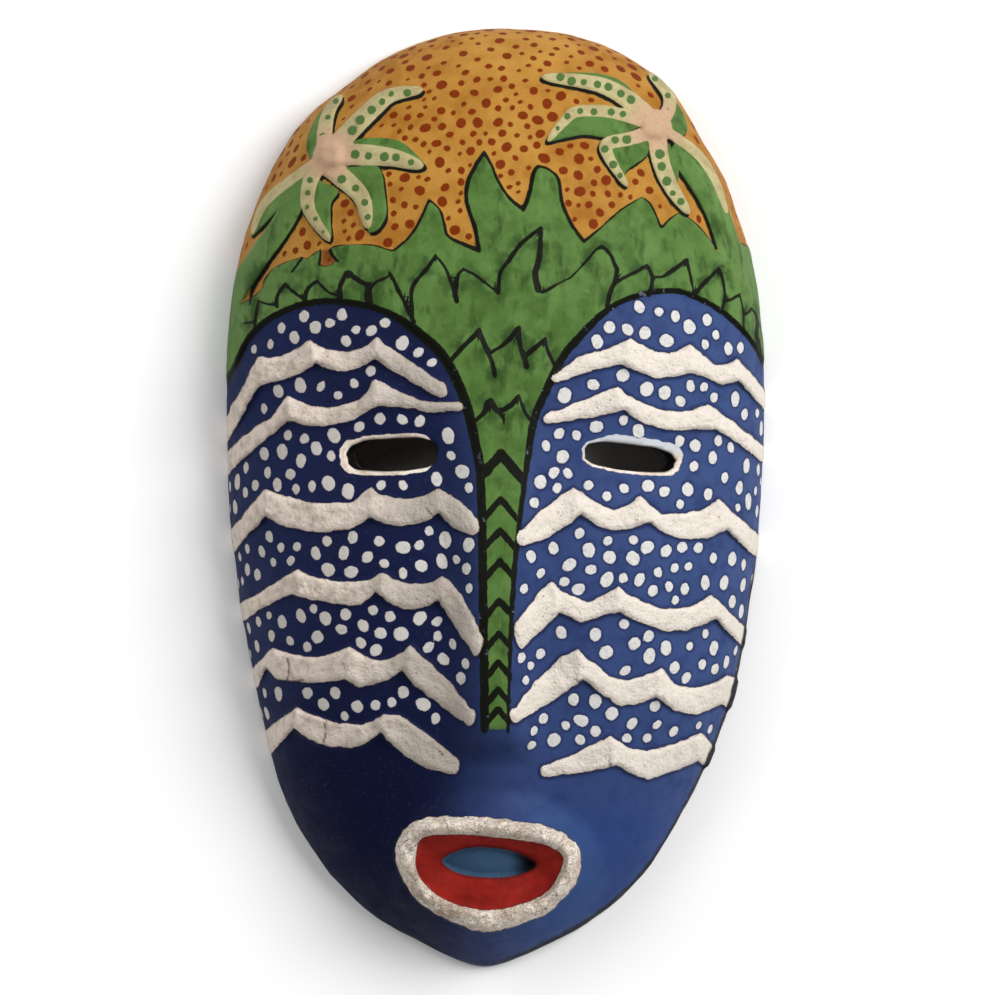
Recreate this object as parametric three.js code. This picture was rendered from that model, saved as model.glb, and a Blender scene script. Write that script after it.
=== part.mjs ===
// A painted wooden mask, carved in one piece and lying face up on its flat rim.
// Millimetres. +X is to the right of someone who looks at the face, +Y is towards the crown
// of the head, +Z is out of the face, and the flat back of the rim is the plane z = 0.

import * as THREE from "three";

// Body of the mask
const HALF_WIDTH = 114.5; // from the middle line to the rim at the widest level
const WIDEST_Y = 45; // the widest level, at the temples
const CROWN_LENGTH = 154.7; // from the widest level up to the crown
const CHIN_LENGTH = 245.3; // from the widest level down to the chin
const DOME_HEIGHT = 74; // of the plain dome over the rim plane
const WALL = 8; // thickness of the wall and width of the flat rim
const OUTLINE_POWER = 2.23; // 2 is an ellipse, and more is squarer
const CHIN_POINT = 0.55; // how far that power falls towards the chin
const CHIN_SPREAD = 25; // degrees either side of the chin over which it falls
const DOME_PLAN_POWER = 2.3;
const DOME_RISE_POWER = 1.9;
const MIDDLE_X = -0.4; // of the middle line at the eyes
const CHIN_LEAN = 3.6; // the chin swings this far to the left of it
const CHIN_TURN = [-80, -140]; // levels between which it swings
const CROWN_LEAN = 5.2; // and the crown this far to the right
const CROWN_TURN = [150, 182];

// Nose, brow, eyes, cheeks and the mound of the mouth
const NOSE_RISE = 13; // of the flat ridge, which is the strip between the two cheek fields
const NOSE_ROOT_Y = 72;
const NOSE_FULL_Y = -58;
const NOSE_TIP_Y = -98.5;
const NOSE_STEP = 17; // length of the slope under the tip
const NOSE_FLANK = 18; // width of each sloping flank
const BROW = { x: 2, y: 88, wide: 52, high: 42, rise: 4 };
const EYE_HOLLOW = { x: 49, y: 16, wide: 32, high: 18, rise: -3.5 };
const CHEEK = { x: 60, y: -45, wide: 36, high: 54, rise: 4 };
const MOUTH_CENTRE = { x: -3, y: -160 };
const MOUND = { halfWidth: 54, halfHeight: 38, rise: 7.5, top: 0.55 };

// Eye slots, cut square to the sloping face; the right one is lower and leans more
const EYE_SLOT_HALF_LENGTH = 19.6;
const EYE_SLOT_POWER = 3;
const EYE_SLOT_DRIFT = 2.6; // how far the cut moves towards the nose through the wall
const EYE_SLOT_TAPER = 0.93; // size of the slot at the back, as a share of the front
const EYE_SLOTS = [
  { x: -44.2, y: 17.9, tilt: 3, halfHeight: 7.4 },
  { x: 57, y: 16.8, tilt: -7, halfHeight: 5.9 },
];

// Mouth: a lumpy ring, lips that slope in, and a blind slot with a flat floor
const RING_RISE = 4.6;
const RING_SLOPE = 2.6; // from the ring's outer edge in to its flat top
const RING_INSIDE = 2.2; // and from its inner edge out to it
const SLOT_SLOPE = 1;
const LIP_TOP = 1;
const LIP_BOTTOM = -5;
const SLOT_FLOOR = -8.5;
const RING_OUTER = [
  [-40.5, -143.5], [-33, -137], [-16, -135.5], [6, -137], [24, -140.5], [34.5, -148],
  [36.5, -156], [33, -166], [22, -177], [8, -182.5], [-5, -185], [-17, -181.5], [-32, -173],
  [-40, -162], [-43, -151],
];
const RING_INNER = [
  [-33.5, -150], [-30, -144.5], [-15, -143.5], [4, -145], [19, -147.5], [27.5, -151.5],
  [27.5, -159], [20, -169], [6, -174.5], [-7, -175.5], [-20, -172], [-30.5, -164.5], [-34, -157],
];
const SLOT_EDGE = [
  [-23, -154.5], [-13.5, -149.5], [-3, -149], [8, -151], [17.5, -156.5], [8, -161],
  [-4, -161.8], [-16, -160],
];

// Low relief sinks towards the rim, where it keeps a share of its rise at the left and right
const RIM_SHARES = [0.08, 0.3];
const RIM_REACH = 0.95; // it is whole inside this share of the way out to the rim

// Cheek fields: each is bounded by an arch over the eye and the edge of the nose
const CHEEK_ARCHES = [
  [
    [-128, 20], [-118, 44], [-112, 54], [-104, 69], [-90, 79], [-72, 83], [-49.5, 79.5], [-33.5, 70],
    [-21, 57.5], [-13, 40], [-9, 23.5], [-6.5, 7], [-5.5, -40], [-4.6, -116],
  ],
  [
    [128, 20], [118, 48], [112, 61], [106.5, 69], [97, 78], [85.5, 84.5], [75, 87.5], [60.5, 85.5],
    [49, 80.5], [38.5, 71], [28.5, 59.5], [21.5, 45.5], [16, 32], [12.5, 9.5], [9.5, -14], [6.5, -50],
    [4.6, -116],
  ],
];

// Leaves: the flame-like top edge of the leaf band, and the rows of leaf tips below it. Each is
// a chain of smooth runs that meet in points
const LEAF_RISE = 1.6;
const LEAF_LAP = 1.3; // how proud the tips of a row stand over the row behind
const LEAF_FADE = 15; // length over which a leaf sinks back to the surface
const LEAF_TOP = [
  [[-140, 70], [-102, 89], [-94, 96], [-84, 101], [-77, 100.2], [-70, 99]],
  [[-70, 99], [-71, 104], [-68, 105.8], [-55, 107], [-48, 106], [-43.5, 104.3]],
  [[-43.5, 104.3], [-37, 110], [-33, 116], [-28.4, 126]],
  [[-28.4, 126], [-24, 122], [-22, 116], [-20.3, 110.5], [-13.5, 107], [-7.2, 104.3]],
  [[-7.2, 104.3], [-9, 114], [-12.5, 125], [-12, 133.5], [-9, 140], [-5, 146.4]],
  [[-5, 146.4], [-1.8, 140.5], [0.8, 134.3], [5.2, 127.3], [11.6, 121.6]],
  [[11.6, 121.6], [14.2, 129], [15.8, 136.8], [17.7, 140.4]],
  [[17.7, 140.4], [22.3, 139], [26.5, 134.5], [28, 125], [31.8, 116], [37.2, 108.2]],
  [[37.2, 108.2], [44.2, 114], [53, 121.8], [61.8, 127.2]],
  [[61.8, 127.2], [65, 125], [67.3, 121], [70.2, 114]],
  [[70.2, 114], [73.4, 117.6], [77.3, 120.5]],
  [[77.3, 120.5], [83.2, 117.6], [90.1, 110.5], [97.3, 99.5]],
  [[97.3, 99.5], [104, 108], [140, 90]],
];
const LEAF_ROWS = [
  [
    [[-37.4, 74], [-36, 87.5], [-30.2, 95.5], [-25.9, 102]],
    [[-25.9, 102], [-21.3, 95.5], [-17.5, 84]],
    [[-17.5, 84], [-16, 94], [-13.9, 95.9], [-8.9, 93.8], [0.8, 86.3]],
    [[0.8, 86.3], [2.6, 94.6], [8.8, 105.3], [19.2, 113.3]],
    [[19.2, 113.3], [17.9, 103.5], [16.1, 96.4], [19, 86.6]],
    [[19, 86.6], [26.5, 89.3], [35.3, 97.3], [45.1, 105.6]],
    [[45.1, 105.6], [51.3, 98.1], [50.4, 89.3], [46.8, 78]],
  ],
  [
    [[-20, 56], [-13, 66], [-7.5, 70.5]],
    [[-7.5, 70.5], [-4.5, 63], [-1.5, 55]],
    [[-1.5, 55], [3, 66], [9, 71.5]],
    [[9, 71.5], [11, 63], [13, 55.5]],
    [[13, 55.5], [16, 63], [21, 66.5]],
    [[21, 66.5], [24.5, 55]],
  ],
  [
    [[-9.5, 31.5], [-6, 36], [-3, 41]],
    [[-3, 41], [2, 33]],
    [[2, 33], [9, 43.5]],
    [[9, 43.5], [15.5, 30.5]],
  ],
];

// Raised wave bands of the cheeks, by the points of their edges from the rim to the nose. A third
// number of a point is how far the edge sags on its way to the next one. Each band is folded at
// its crests, which are given by x.
const BAND_LOW = 1.8; // rise in the hollow of a swag
const BAND_CREST = 5; // rise at a crest
const BAND_SLOPE = 2; // width of the slope along its edges
const BAND_ROUND = 2.4; // length of its rounded end
const CREST_REACH = 15; // from a crest to where the band has sunk to its low rise
const SAG_STEPS = 8;
const END_STEPS = 4;
const BANDS = [
  {
    upper: [[-118, 27, -1], [-101, 59.5, 2.6], [-79, 67, 5.6], [-50.5, 67.3, 0.4], [-23.5, 49]],
    lower: [[-118, 16, -1], [-100, 47.7, 1.8], [-76.5, 56.3, 4], [-51.5, 58.2, 0.5], [-23, 41.8]],
    crests: [-100, -78, -51],
  },
  {
    upper: [
      [-120, 13, -2.3], [-95.5, 33.8], [-88.5, 43, 4.3], [-57.5, 41.5], [-51.5, 50.3, 0.6],
      [-28, 40.1], [-16, 40.7],
    ],
    lower: [[-120, 2, -2], [-94, 27], [-88.5, 32.6, 5.3], [-50, 38.5, -0.8], [-28, 35.4], [-16, 36]],
    crests: [-88.5, -51],
  },
  {
    upper: [
      [-119, -22], [-98.5, 3.4, 2.6], [-60.5, -2.2, -0.3], [-53, 3.9, 5], [-24.5, 4, -1.6], [-9, -8.5],
    ],
    lower: [
      [-119, -33, -1], [-98, -8.7, 3.7], [-61.5, -13.5], [-53.5, -8.7, 4.5], [-24.5, -7.5, 1.5],
      [-10, -16.5],
    ],
    crests: [-98, -53, -24.5],
  },
  {
    upper: [
      [-119, -51, 0.5], [-84.5, -30.6, 2.4], [-54, -35.5], [-48, -31.5, 4.4], [-23, -34, -4.5],
      [-7, -57],
    ],
    lower: [
      [-119, -63, -2.5], [-86, -41.5, 1.3], [-57, -46.2], [-51, -41, 5.5], [-24.5, -44, 0.8],
      [-9, -67.5],
    ],
    crests: [-85, -49, -23],
  },
  {
    upper: [[-116, -86], [-95, -63.8, 4.4], [-62, -63.3, 6.2], [-36.5, -62.8, -1.8], [-10.5, -89.5]],
    lower: [
      [-112, -101], [-97.7, -73], [-93.5, -78, 1.2], [-64.5, -77.2], [-58.5, -80.6, 1.4],
      [-40, -74, 0.5], [-33, -81, 0.3], [-11.5, -97.5],
    ],
    crests: [-96, -63, -37],
  },
  {
    upper: [
      [-108, -110, -1.5], [-84.7, -89.3, 1.6], [-57, -96.8, 0.2], [-47.5, -92.2], [-41, -92.6, -0.6],
      [-17.5, -110.5],
    ],
    lower: [
      [-106, -122, -0.5], [-86.3, -98.8, 3.2], [-58, -106.2, 0.3], [-49, -100.3], [-37.5, -111.2, 1],
      [-18, -118],
    ],
    crests: [-85.5, -48],
  },
  {
    upper: [
      [122, 33, -1.5], [102.5, 59.2, 1.2], [93, 56, 0.5], [82.8, 65.6, 1], [71.5, 60.8, 0.8],
      [57, 67.2, 0.4], [36, 59.8, -0.8], [25.5, 52],
    ],
    lower: [
      [122, 26, -2], [103, 49.2, 0.6], [94, 47.8, -0.3], [82.5, 52.8, 0.3], [70, 50.5, 0.8],
      [53.5, 56.2, -0.6], [26, 48.6],
    ],
    crests: [102.5, 82.7, 56],
  },
  {
    upper: [[126, 13], [90, 40, 0.5], [79, 36, 2.5], [51.5, 46.6], [22, 35.2]],
    lower: [[126, 6, -0.5], [93, 29], [78, 28.4, 2.3], [54, 36.3, 0.4], [22, 30.8]],
    crests: [91, 52.5],
  },
  {
    upper: [
      [122, -24, 1], [94.5, -0.2, 0.5], [85, -6.3, 0.2], [70, -7.3], [61, 0.2, 0.6], [50, -5, 1.5],
      [33, 4.3, -1], [11, -14],
    ],
    lower: [
      [122, -36], [98, -14.3, 0.3], [89, -17.5, 1.2], [72, -16], [65.5, -10.8, 0.8], [50, -14.4, 1.5],
      [36, -7, 2], [11.5, -21],
    ],
    crests: [96, 63, 34.5],
  },
  {
    upper: [
      [120, -68, 0.3], [91.5, -41.6], [83, -46.8, 0.4], [70, -47.5, 1.2], [52, -37.8, 0.2],
      [39, -44.6, 1.2], [23.5, -36.2, -1.8], [9.5, -52],
    ],
    lower: [
      [120, -80], [93.5, -51.8, 0.3], [82, -56.6, 0.3], [70, -57, 0.5], [52.5, -48.6, -0.3],
      [36, -53.6], [27, -49], [11, -65],
    ],
    crests: [92.5, 52, 25],
  },
  {
    upper: [
      [110, -80], [98, -75.6, 1], [84, -81, 0.3], [76, -79.6], [70, -72.6, 0.8], [55, -78],
      [48, -75.8, 0.3], [35.2, -65.2], [28, -67.6, -1.5], [8, -89.8],
    ],
    lower: [
      [110, -98], [96, -88.8], [86, -92.8, 0.5], [76, -91], [68, -84.8, 1.2], [53, -88.8, 0.6],
      [37, -77.8, 0.6], [8.5, -96],
    ],
    crests: [97, 69, 36],
  },
  {
    upper: [[100, -114], [87, -100.6, 1], [62, -108, 1.4], [49, -101, 1.2], [21, -113.4]],
    lower: [[100, -126], [86, -111.8, 1], [64, -120.3, 0.5], [51, -114.3, 0.7], [21.5, -118.9]],
    crests: [86.5, 50],
  },
];

// Palms: a lumpy crown, a trunk and six fronds, each a rib with a leaf to one side of it
const FROND_RISE = 1.7;
const FROND_TIP = 0.4; // half the width of its tip
const FROND_TAPER = 2.6; // more keeps a frond wide nearer to its tip
const CROWN_KNOB = 7.5; // radius of the crown
const CROWN_TOP = 0.4; // share of that radius with the full rise
const CROWN_KNOB_RISE = 2.6; // over the fronds
const PALMS = [
  {
    crown: [-71, 145.7],
    trunkHalf: 4.6,
    trunk: [[-84, 131], [-90.5, 117], [-101.6, 101.5], [-113, 84]],
    fronds: [
      {
        half: 3,
        rib: [[-71, 146], [-73, 152], [-72.5, 158.4], [-70.6, 165.2], [-65.9, 171]],
        leaf: [[-79, 143], [-80.8, 150], [-78, 159], [-73.5, 166]],
      },
      {
        half: 3.8,
        rib: [[-70, 147], [-63.3, 154.2], [-52.3, 165.2], [-44.6, 170.8], [-31.5, 173]],
      },
      {
        half: 4.2,
        rib: [[-70, 145.5], [-56.5, 145.3], [-43.8, 144], [-31, 140.2]],
        leaf: [[-63, 149], [-57, 152.3], [-43, 151.8], [-36, 147.5], [-30, 141]],
      },
      {
        half: 3.9,
        rib: [[-72, 141], [-65.9, 136], [-57, 127], [-54.4, 114]],
        leaf: [[-62, 140], [-50, 140.2], [-47.2, 128.7], [-46.6, 120], [-50, 113.5], [-54, 112]],
      },
      {
        half: 2.9,
        rib: [[-74, 143], [-79.1, 133.8], [-79.5, 122], [-70.6, 108.7]],
        leaf: [[-75, 134.5], [-67, 130], [-70.3, 124], [-69.8, 110]],
      },
      {
        half: 1.7,
        rib: [[-74, 144], [-88, 134.2], [-99, 124.4], [-104.1, 112]],
        leaf: [[-80, 132], [-90, 125], [-98, 116.5], [-103.8, 111]],
      },
    ],
  },
  {
    crown: [68, 157.6],
    trunkHalf: 5,
    trunk: [[79, 146], [86.7, 134.6], [92.7, 124.4], [96.9, 113.4], [101.2, 100]],
    fronds: [
      {
        half: 2.6,
        rib: [[69, 158], [73.5, 165], [73.1, 172], [65.5, 180.4]],
        leaf: [[77, 152], [81.5, 156], [79.5, 164], [74.5, 171]],
      },
      {
        half: 3.6,
        rib: [[67, 159], [57.8, 167.8], [43.4, 175.4], [19.6, 178.6]],
        leaf: [[61, 169], [54, 176.5], [44, 180], [30, 180.4]],
      },
      {
        half: 2.2,
        rib: [[67, 158], [50.2, 163.3], [35, 163.8], [29, 159.5], [22.1, 151.2]],
        leaf: [[60, 157], [50, 152.5], [38, 153.8], [28, 152], [22.5, 150.5]],
      },
      {
        half: 2.5,
        rib: [[66, 155], [56, 152], [46.8, 149.6], [48.5, 143.1], [55.7, 132]],
        leaf: [[65, 151], [64, 145], [55.5, 138.5], [54.8, 133]],
      },
      {
        half: 3.5,
        rib: [[68.5, 155], [69.7, 144], [74, 132.5], [82, 120.5]],
        leaf: [[73.5, 150], [77.6, 142], [77, 131]],
      },
      {
        half: 1.7,
        rib: [[70, 157], [84.2, 147.4], [93, 135.5], [98.2, 121]],
        leaf: [[77, 149], [84, 142], [91, 133], [97.5, 121.5]],
      },
    ],
  },
];

// Facets
const EDGE = 0.9; // half the width of the slope at the edge of a raised form
const SHARP = 0.3; // radians by which a line turns where its corner shows
const RUN_STEPS = 5; // from one point of a smooth line to the next
const LOOP_STEPS = 3; // from one point of a smooth loop to the next
const BEYOND = 400; // far outside the rim, where open fields are shut
const RIM_POINTS = 132;
const BODY_SPACING = 9.6; // between free points on the face
const FEATURE_SPACING = 5.4; // between points along the edge of a leaf or a palm
const BAND_SPACING = 5.4; // and along the edge of a band
const MOUTH_SPACING = 4.4;
const FREE_CLEARANCE = 5; // from a free point to the nearest raised edge
const CONTOUR_GAP = 2.4; // between the contours of two forms
const POINT_CLEARANCE = 1.25; // between any two points
const BACK_SPACING = 19;
const SLOT_POINTS = 26;
const SLOT_GUARD = 2.4; // clear strip round an eye slot
const RIM_GUARD = 4; // and along the rim
const TRACE_STEP = 1.2; // of the fine grid on which raised edges are traced
const TRACE_MARGIN = 12; // of that grid, round the lines it covers
const CORNER_STEP = 0.1; // of the search for a contour's corner, along its bisector
const CORNER_REACH = 12; // and the end of that search
const CORNER_ROOM = 0.45; // shares of the spacing: a contour point nearer to a corner goes,
const AFTER_CORNER = 0.3; // the walk restarts there with this much behind it,
const LAST_GAP = 0.5; // and a last point is kept this far from the one before

const { clamp, lerp, degToRad, radToDeg } = THREE.MathUtils;

/** 0 up to `from`, 1 past `to`, and a smooth S between them. */
function ease(from, to, value) {
  const t = clamp((value - from) / (to - from), 0, 1);
  return t * t * (3 - 2 * t);
}

/** A round swelling, or a hollow if its rise is negative. */
function swelling(form, x, y) {
  return form.rise * Math.exp(-(((x - form.x) / form.wide) ** 2) - ((y - form.y) / form.high) ** 2);
}

/** How far the middle line leans from x = 0 at a level. */
function lean(y) {
  return MIDDLE_X + CROWN_LEAN * ease(...CROWN_TURN, y) - CHIN_LEAN * ease(...CHIN_TURN, y);
}

/** A body is the outer face or the hollow: the same dome, smaller by `inset`. */
function body(inset) {
  return {
    halfWidth: HALF_WIDTH - inset,
    crown: CROWN_LENGTH - inset,
    chin: CHIN_LENGTH - inset,
    height: DOME_HEIGHT - inset,
  };
}
const FACE = body(0);
const HOLLOW = body(WALL);

/** 0 at the middle of a body's plan and 1 on its outline, growing evenly along each ray. */
function gauge(shape, x, y) {
  const across = Math.abs(x - lean(y)) / shape.halfWidth;
  const up = (y - WIDEST_Y) / (y > WIDEST_Y ? shape.crown : shape.chin);
  const fromChin = radToDeg(Math.atan2(across, -up));
  const power = OUTLINE_POWER - CHIN_POINT * Math.exp(-((fromChin / CHIN_SPREAD) ** 2));
  return (across ** power + Math.abs(up) ** power) ** (1 / power);
}

/** Height of the plain dome where the gauge is g. */
function domeHeight(shape, g) {
  return shape.height * (1 - Math.min(g, 1) ** DOME_PLAN_POWER) ** (1 / DOME_RISE_POWER);
}

/** Unit vector out of the plain dome at a plan point; it is level at the rim. */
function domeNormal(shape, x, y) {
  const g = Math.min(gauge(shape, x, y), 1);
  const step = 0.05;
  const slope = DOME_PLAN_POWER * Math.max(g, 1e-6) ** (DOME_PLAN_POWER - 1);
  const alongX = (gauge(shape, x + step, y) - gauge(shape, x - step, y)) / (2 * step);
  const alongY = (gauge(shape, x, y + step) - gauge(shape, x, y - step)) / (2 * step);
  const share = domeHeight(shape, g) / shape.height;
  const up = (DOME_RISE_POWER * share ** (DOME_RISE_POWER - 1)) / shape.height;
  return new THREE.Vector3(slope * alongX, slope * alongY, up).normalize();
}

/** The dome laid out flat, so that its steep sides get their true share of points. */
function unroll(shape, x, y) {
  const g = Math.min(gauge(shape, x, y), 1);
  const scale = g > 1e-9 ? Math.asin(g) / g : 1;
  return new THREE.Vector2((x - lean(y)) * scale, (y - WIDEST_Y) * scale);
}

/** The plan point of a point of the laid-out dome. */
function rollUp(shape, flat) {
  const round = gauge(shape, flat.x + lean(flat.y + WIDEST_Y), flat.y + WIDEST_Y);
  const scale = round > 1e-9 ? Math.sin(Math.min(round, Math.PI / 2)) / round : 1;
  const y = flat.y * scale + WIDEST_Y;
  return new THREE.Vector2(flat.x * scale + lean(y), y);
}

/** Nearest place on a line of points: its distance, and how far along it lies in points. */
function nearest(points, x, y) {
  let best = { distance: Infinity, along: 0 };
  for (let i = 0; i + 1 < points.length; i++) {
    const [a, b] = [points[i], points[i + 1]];
    const [dx, dy] = [b.x - a.x, b.y - a.y];
    const t = clamp(((x - a.x) * dx + (y - a.y) * dy) / (dx * dx + dy * dy), 0, 1);
    const distance = Math.hypot(x - a.x - t * dx, y - a.y - t * dy);
    if (distance < best.distance) best = { distance, along: i + t };
  }
  return best;
}

/** True inside a closed loop of points. */
function inside(loop, x, y) {
  let odd = false;
  for (let i = 0, j = loop.length - 1; i < loop.length; j = i++) {
    const [a, b] = [loop[i], loop[j]];
    if (a.y > y !== b.y > y && x < ((b.x - a.x) * (y - a.y)) / (b.y - a.y) + a.x) odd = !odd;
  }
  return odd;
}

const toPoints = (pairs) => pairs.map(([x, y]) => new THREE.Vector2(x, y));

/** A field is the area inside an edge; depth is how far inside it a point lies. */
function field(edge, closing = []) {
  const loop = [...edge, ...closing];
  const closed = closing.length ? edge : [...edge, edge[0]];
  const depth = (x, y) => (inside(loop, x, y) ? 1 : -1) * nearest(closed, x, y).distance;
  return { edge: closed, depth };
}

/** A stroke is a line with a half width at each place along it. */
function stroke(line, half) {
  const depth = (x, y) => {
    const near = nearest(line, x, y);
    return half(near.along / (line.length - 1)) - near.distance;
  };
  return { edge: line, depth };
}

/** A smooth closed curve through points. */
function closedCurve(pairs) {
  const points = pairs.map(([x, y]) => new THREE.Vector3(x, y, 0));
  const curve = new THREE.CatmullRomCurve3(points, true, "centripetal");
  const count = pairs.length * LOOP_STEPS;
  return curve.getSpacedPoints(count).slice(0, count).map((p) => new THREE.Vector2(p.x, p.y));
}

/** A smooth open curve through points. */
function openCurve(pairs) {
  return new THREE.SplineCurve(toPoints(pairs)).getPoints((pairs.length - 1) * RUN_STEPS);
}

/** Smooth curves joined end to end, with a corner at each join. */
function cusped(runs) {
  return runs.flatMap((run, i) => openCurve(run).slice(i ? 1 : 0));
}

/** Spans from point to point that sag in parabolas. */
function sagging(points) {
  const found = [];
  for (let i = 0; i + 1 < points.length; i++) {
    const [x, y, sag = 0] = points[i];
    for (let k = 0; k < SAG_STEPS; k++) {
      const t = k / SAG_STEPS;
      const level = lerp(y, points[i + 1][1], t) - sag * 4 * t * (1 - t);
      found.push(new THREE.Vector2(lerp(x, points[i + 1][0], t), level));
    }
  }
  found.push(new THREE.Vector2(...points[points.length - 1].slice(0, 2)));
  return found;
}

// The fields, bands and palms of the face
const cheeks = CHEEK_ARCHES.map((arch) => {
  const edge = openCurve(arch);
  const outer = Math.sign(edge[0].x) * BEYOND;
  return field(edge, toPoints([[outer, edge[edge.length - 1].y], [outer, edge[0].y]]));
});
const leafTop = field(cusped(LEAF_TOP), toPoints([[BEYOND, -BEYOND], [-BEYOND, -BEYOND]]));
const leafRows = LEAF_ROWS.map((row) => {
  const edge = cusped(row);
  return field(edge, toPoints([[edge[edge.length - 1].x, -BEYOND], [edge[0].x, -BEYOND]]));
});

const bands = BANDS.map(({ upper, lower, crests }) => {
  const [top, bottom] = [sagging(upper), sagging(lower)];
  const [topEnd, bottomEnd] = [top[top.length - 1], bottom[bottom.length - 1]];
  const middle = topEnd.clone().lerp(bottomEnd, 0.5);
  const half = topEnd.clone().sub(middle);
  const outward = new THREE.Vector2(half.y, -half.x).setLength(BAND_ROUND);
  outward.multiplyScalar(-Math.sign(middle.x));
  const end = [];
  for (let k = 1; k < END_STEPS; k++) {
    const turn = (k / END_STEPS) * Math.PI;
    end.push(middle.clone().addScaledVector(half, Math.cos(turn)).addScaledVector(outward, Math.sin(turn)));
  }
  const rise = (x) => {
    const near = Math.max(0, ...crests.map((crest) => 1 - Math.abs(x - crest) / CREST_REACH));
    return lerp(BAND_LOW, BAND_CREST, near ** 2);
  };
  return { ...field([...top, ...end, ...bottom.reverse()]), rise };
});

const palms = PALMS.map(({ crown, trunk, trunkHalf, fronds }) => {
  const forms = [stroke(openCurve(trunk), () => trunkHalf)];
  for (const { rib, half, leaf } of fronds) {
    const line = openCurve(rib);
    forms.push(stroke(line, (share) => half * Math.sqrt(Math.max(1 - share ** FROND_TAPER, 0)) + FROND_TIP));
    if (leaf) forms.push(field([...line, ...openCurve(leaf).reverse()]));
  }
  const depth = (x, y) => Math.max(...forms.map((form) => form.depth(x, y)));
  const rise = (x, y) => {
    const away = Math.hypot(x - crown[0], y - crown[1]);
    return FROND_RISE + CROWN_KNOB_RISE * (1 - ease(CROWN_TOP * CROWN_KNOB, CROWN_KNOB, away));
  };
  return { lines: forms.map((form) => form.edge), depth, rise };
});

const ringOuter = field(closedCurve(RING_OUTER));
const ringInner = field(closedCurve(RING_INNER));
const slotEdge = field(closedCurve(SLOT_EDGE));

/** The outline of an eye slot in plan, grown by `grow`, at the front or the back. */
function eyeOutline(slot, grow, atBack) {
  const scale = atBack ? EYE_SLOT_TAPER : 1;
  const shift = atBack ? -Math.sign(slot.x) * EYE_SLOT_DRIFT : 0;
  const middle = new THREE.Vector2(slot.x + shift, slot.y);
  return Array.from({ length: SLOT_POINTS }, (_, i) => {
    const turn = (i / SLOT_POINTS) * 2 * Math.PI;
    const [c, s] = [Math.cos(turn), Math.sin(turn)];
    const norm = Math.abs(c) ** EYE_SLOT_POWER + Math.abs(s) ** EYE_SLOT_POWER;
    const reach = norm ** (-1 / EYE_SLOT_POWER);
    const along = c * reach * (EYE_SLOT_HALF_LENGTH * scale + grow);
    const up = s * reach * (slot.halfHeight * scale + grow);
    return new THREE.Vector2(along, up).rotateAround(new THREE.Vector2(), degToRad(slot.tilt)).add(middle);
  });
}

/** How far inside a cheek field a plan point lies; it is below 0 on the nose and the leaves. */
function cheekDepth(x, y) {
  return Math.max(...cheeks.map((cheek) => cheek.depth(x, y)));
}

/** Height of the large forms of the face over the plain dome. */
function largeForms(x, y) {
  const down = ease(NOSE_ROOT_Y, NOSE_FULL_Y, y) * ease(NOSE_TIP_Y - NOSE_STEP, NOSE_TIP_Y, y);
  const nose = down > 0 ? NOSE_RISE * down * (1 - ease(0, NOSE_FLANK, cheekDepth(x, y))) : 0;
  const [mx, my] = [x - MOUTH_CENTRE.x, y - MOUTH_CENTRE.y];
  const mouthward = Math.hypot(mx / MOUND.halfWidth, my / MOUND.halfHeight);
  const mound = MOUND.rise * (1 - ease(MOUND.top, 1, mouthward));
  const sides = swelling(EYE_HOLLOW, Math.abs(x), y) + swelling(CHEEK, Math.abs(x), y);
  return nose + mound + sides + swelling(BROW, x, y);
}

/** Rise of the mouth's ring and fall of its lips and slot, square to the surface. */
function mouthRelief(x, y) {
  const fromOutside = ringOuter.depth(x, y);
  if (fromOutside < -EDGE) return 0;
  const fromInside = -ringInner.depth(x, y);
  if (fromInside > 0) {
    const outerSlope = ease(-EDGE, RING_SLOPE, fromOutside);
    const innerSlope = ease(0, RING_INSIDE, fromInside);
    return RING_RISE * outerSlope * lerp(LIP_TOP / RING_RISE, 1, innerSlope);
  }
  const fromSlot = -slotEdge.depth(x, y);
  if (fromSlot <= 0) return lerp(LIP_BOTTOM, SLOT_FLOOR, ease(0, SLOT_SLOPE, -fromSlot));
  return lerp(LIP_BOTTOM, LIP_TOP, fromSlot / (fromSlot - fromInside));
}

/** How far inside the leaf band a plan point lies. */
function leafDepth(x, y) {
  return Math.min(leafTop.depth(x, y), -cheekDepth(x, y), y - NOSE_TIP_Y);
}

/** How far inside the nearest band a plan point lies. */
function bandDepth(x, y) {
  return Math.max(...bands.map((band) => band.depth(x, y)));
}

/** How far inside the leaves or a palm a plan point lies. */
function plantDepth(x, y) {
  return Math.max(leafDepth(x, y), ...palms.map((palm) => palm.depth(x, y)));
}

/** Rise of leaves, palms, bands and mouth over the large forms, square to the surface. */
function relief(x, y) {
  const leaf = leafDepth(x, y);
  let rise = LEAF_RISE * ease(-EDGE, EDGE, leaf);
  if (leaf > 0) {
    const laps = leafRows.map((row) => {
      const depth = row.depth(x, y);
      return LEAF_LAP * ease(-EDGE, EDGE, depth) * (1 - ease(0, LEAF_FADE, depth));
    });
    rise += Math.max(...laps);
  }
  for (const palm of palms) {
    rise = Math.max(rise, palm.rise(x, y) * ease(-EDGE, EDGE, palm.depth(x, y)));
  }
  for (const band of bands) {
    rise = Math.max(rise, band.rise(x) * ease(-EDGE, BAND_SLOPE, band.depth(x, y)));
  }
  const atRim = RIM_SHARES[x < 0 ? 0 : 1];
  return (rise + mouthRelief(x, y)) * lerp(atRim, 1, ease(1, RIM_REACH, gauge(FACE, x, y)));
}

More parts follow.
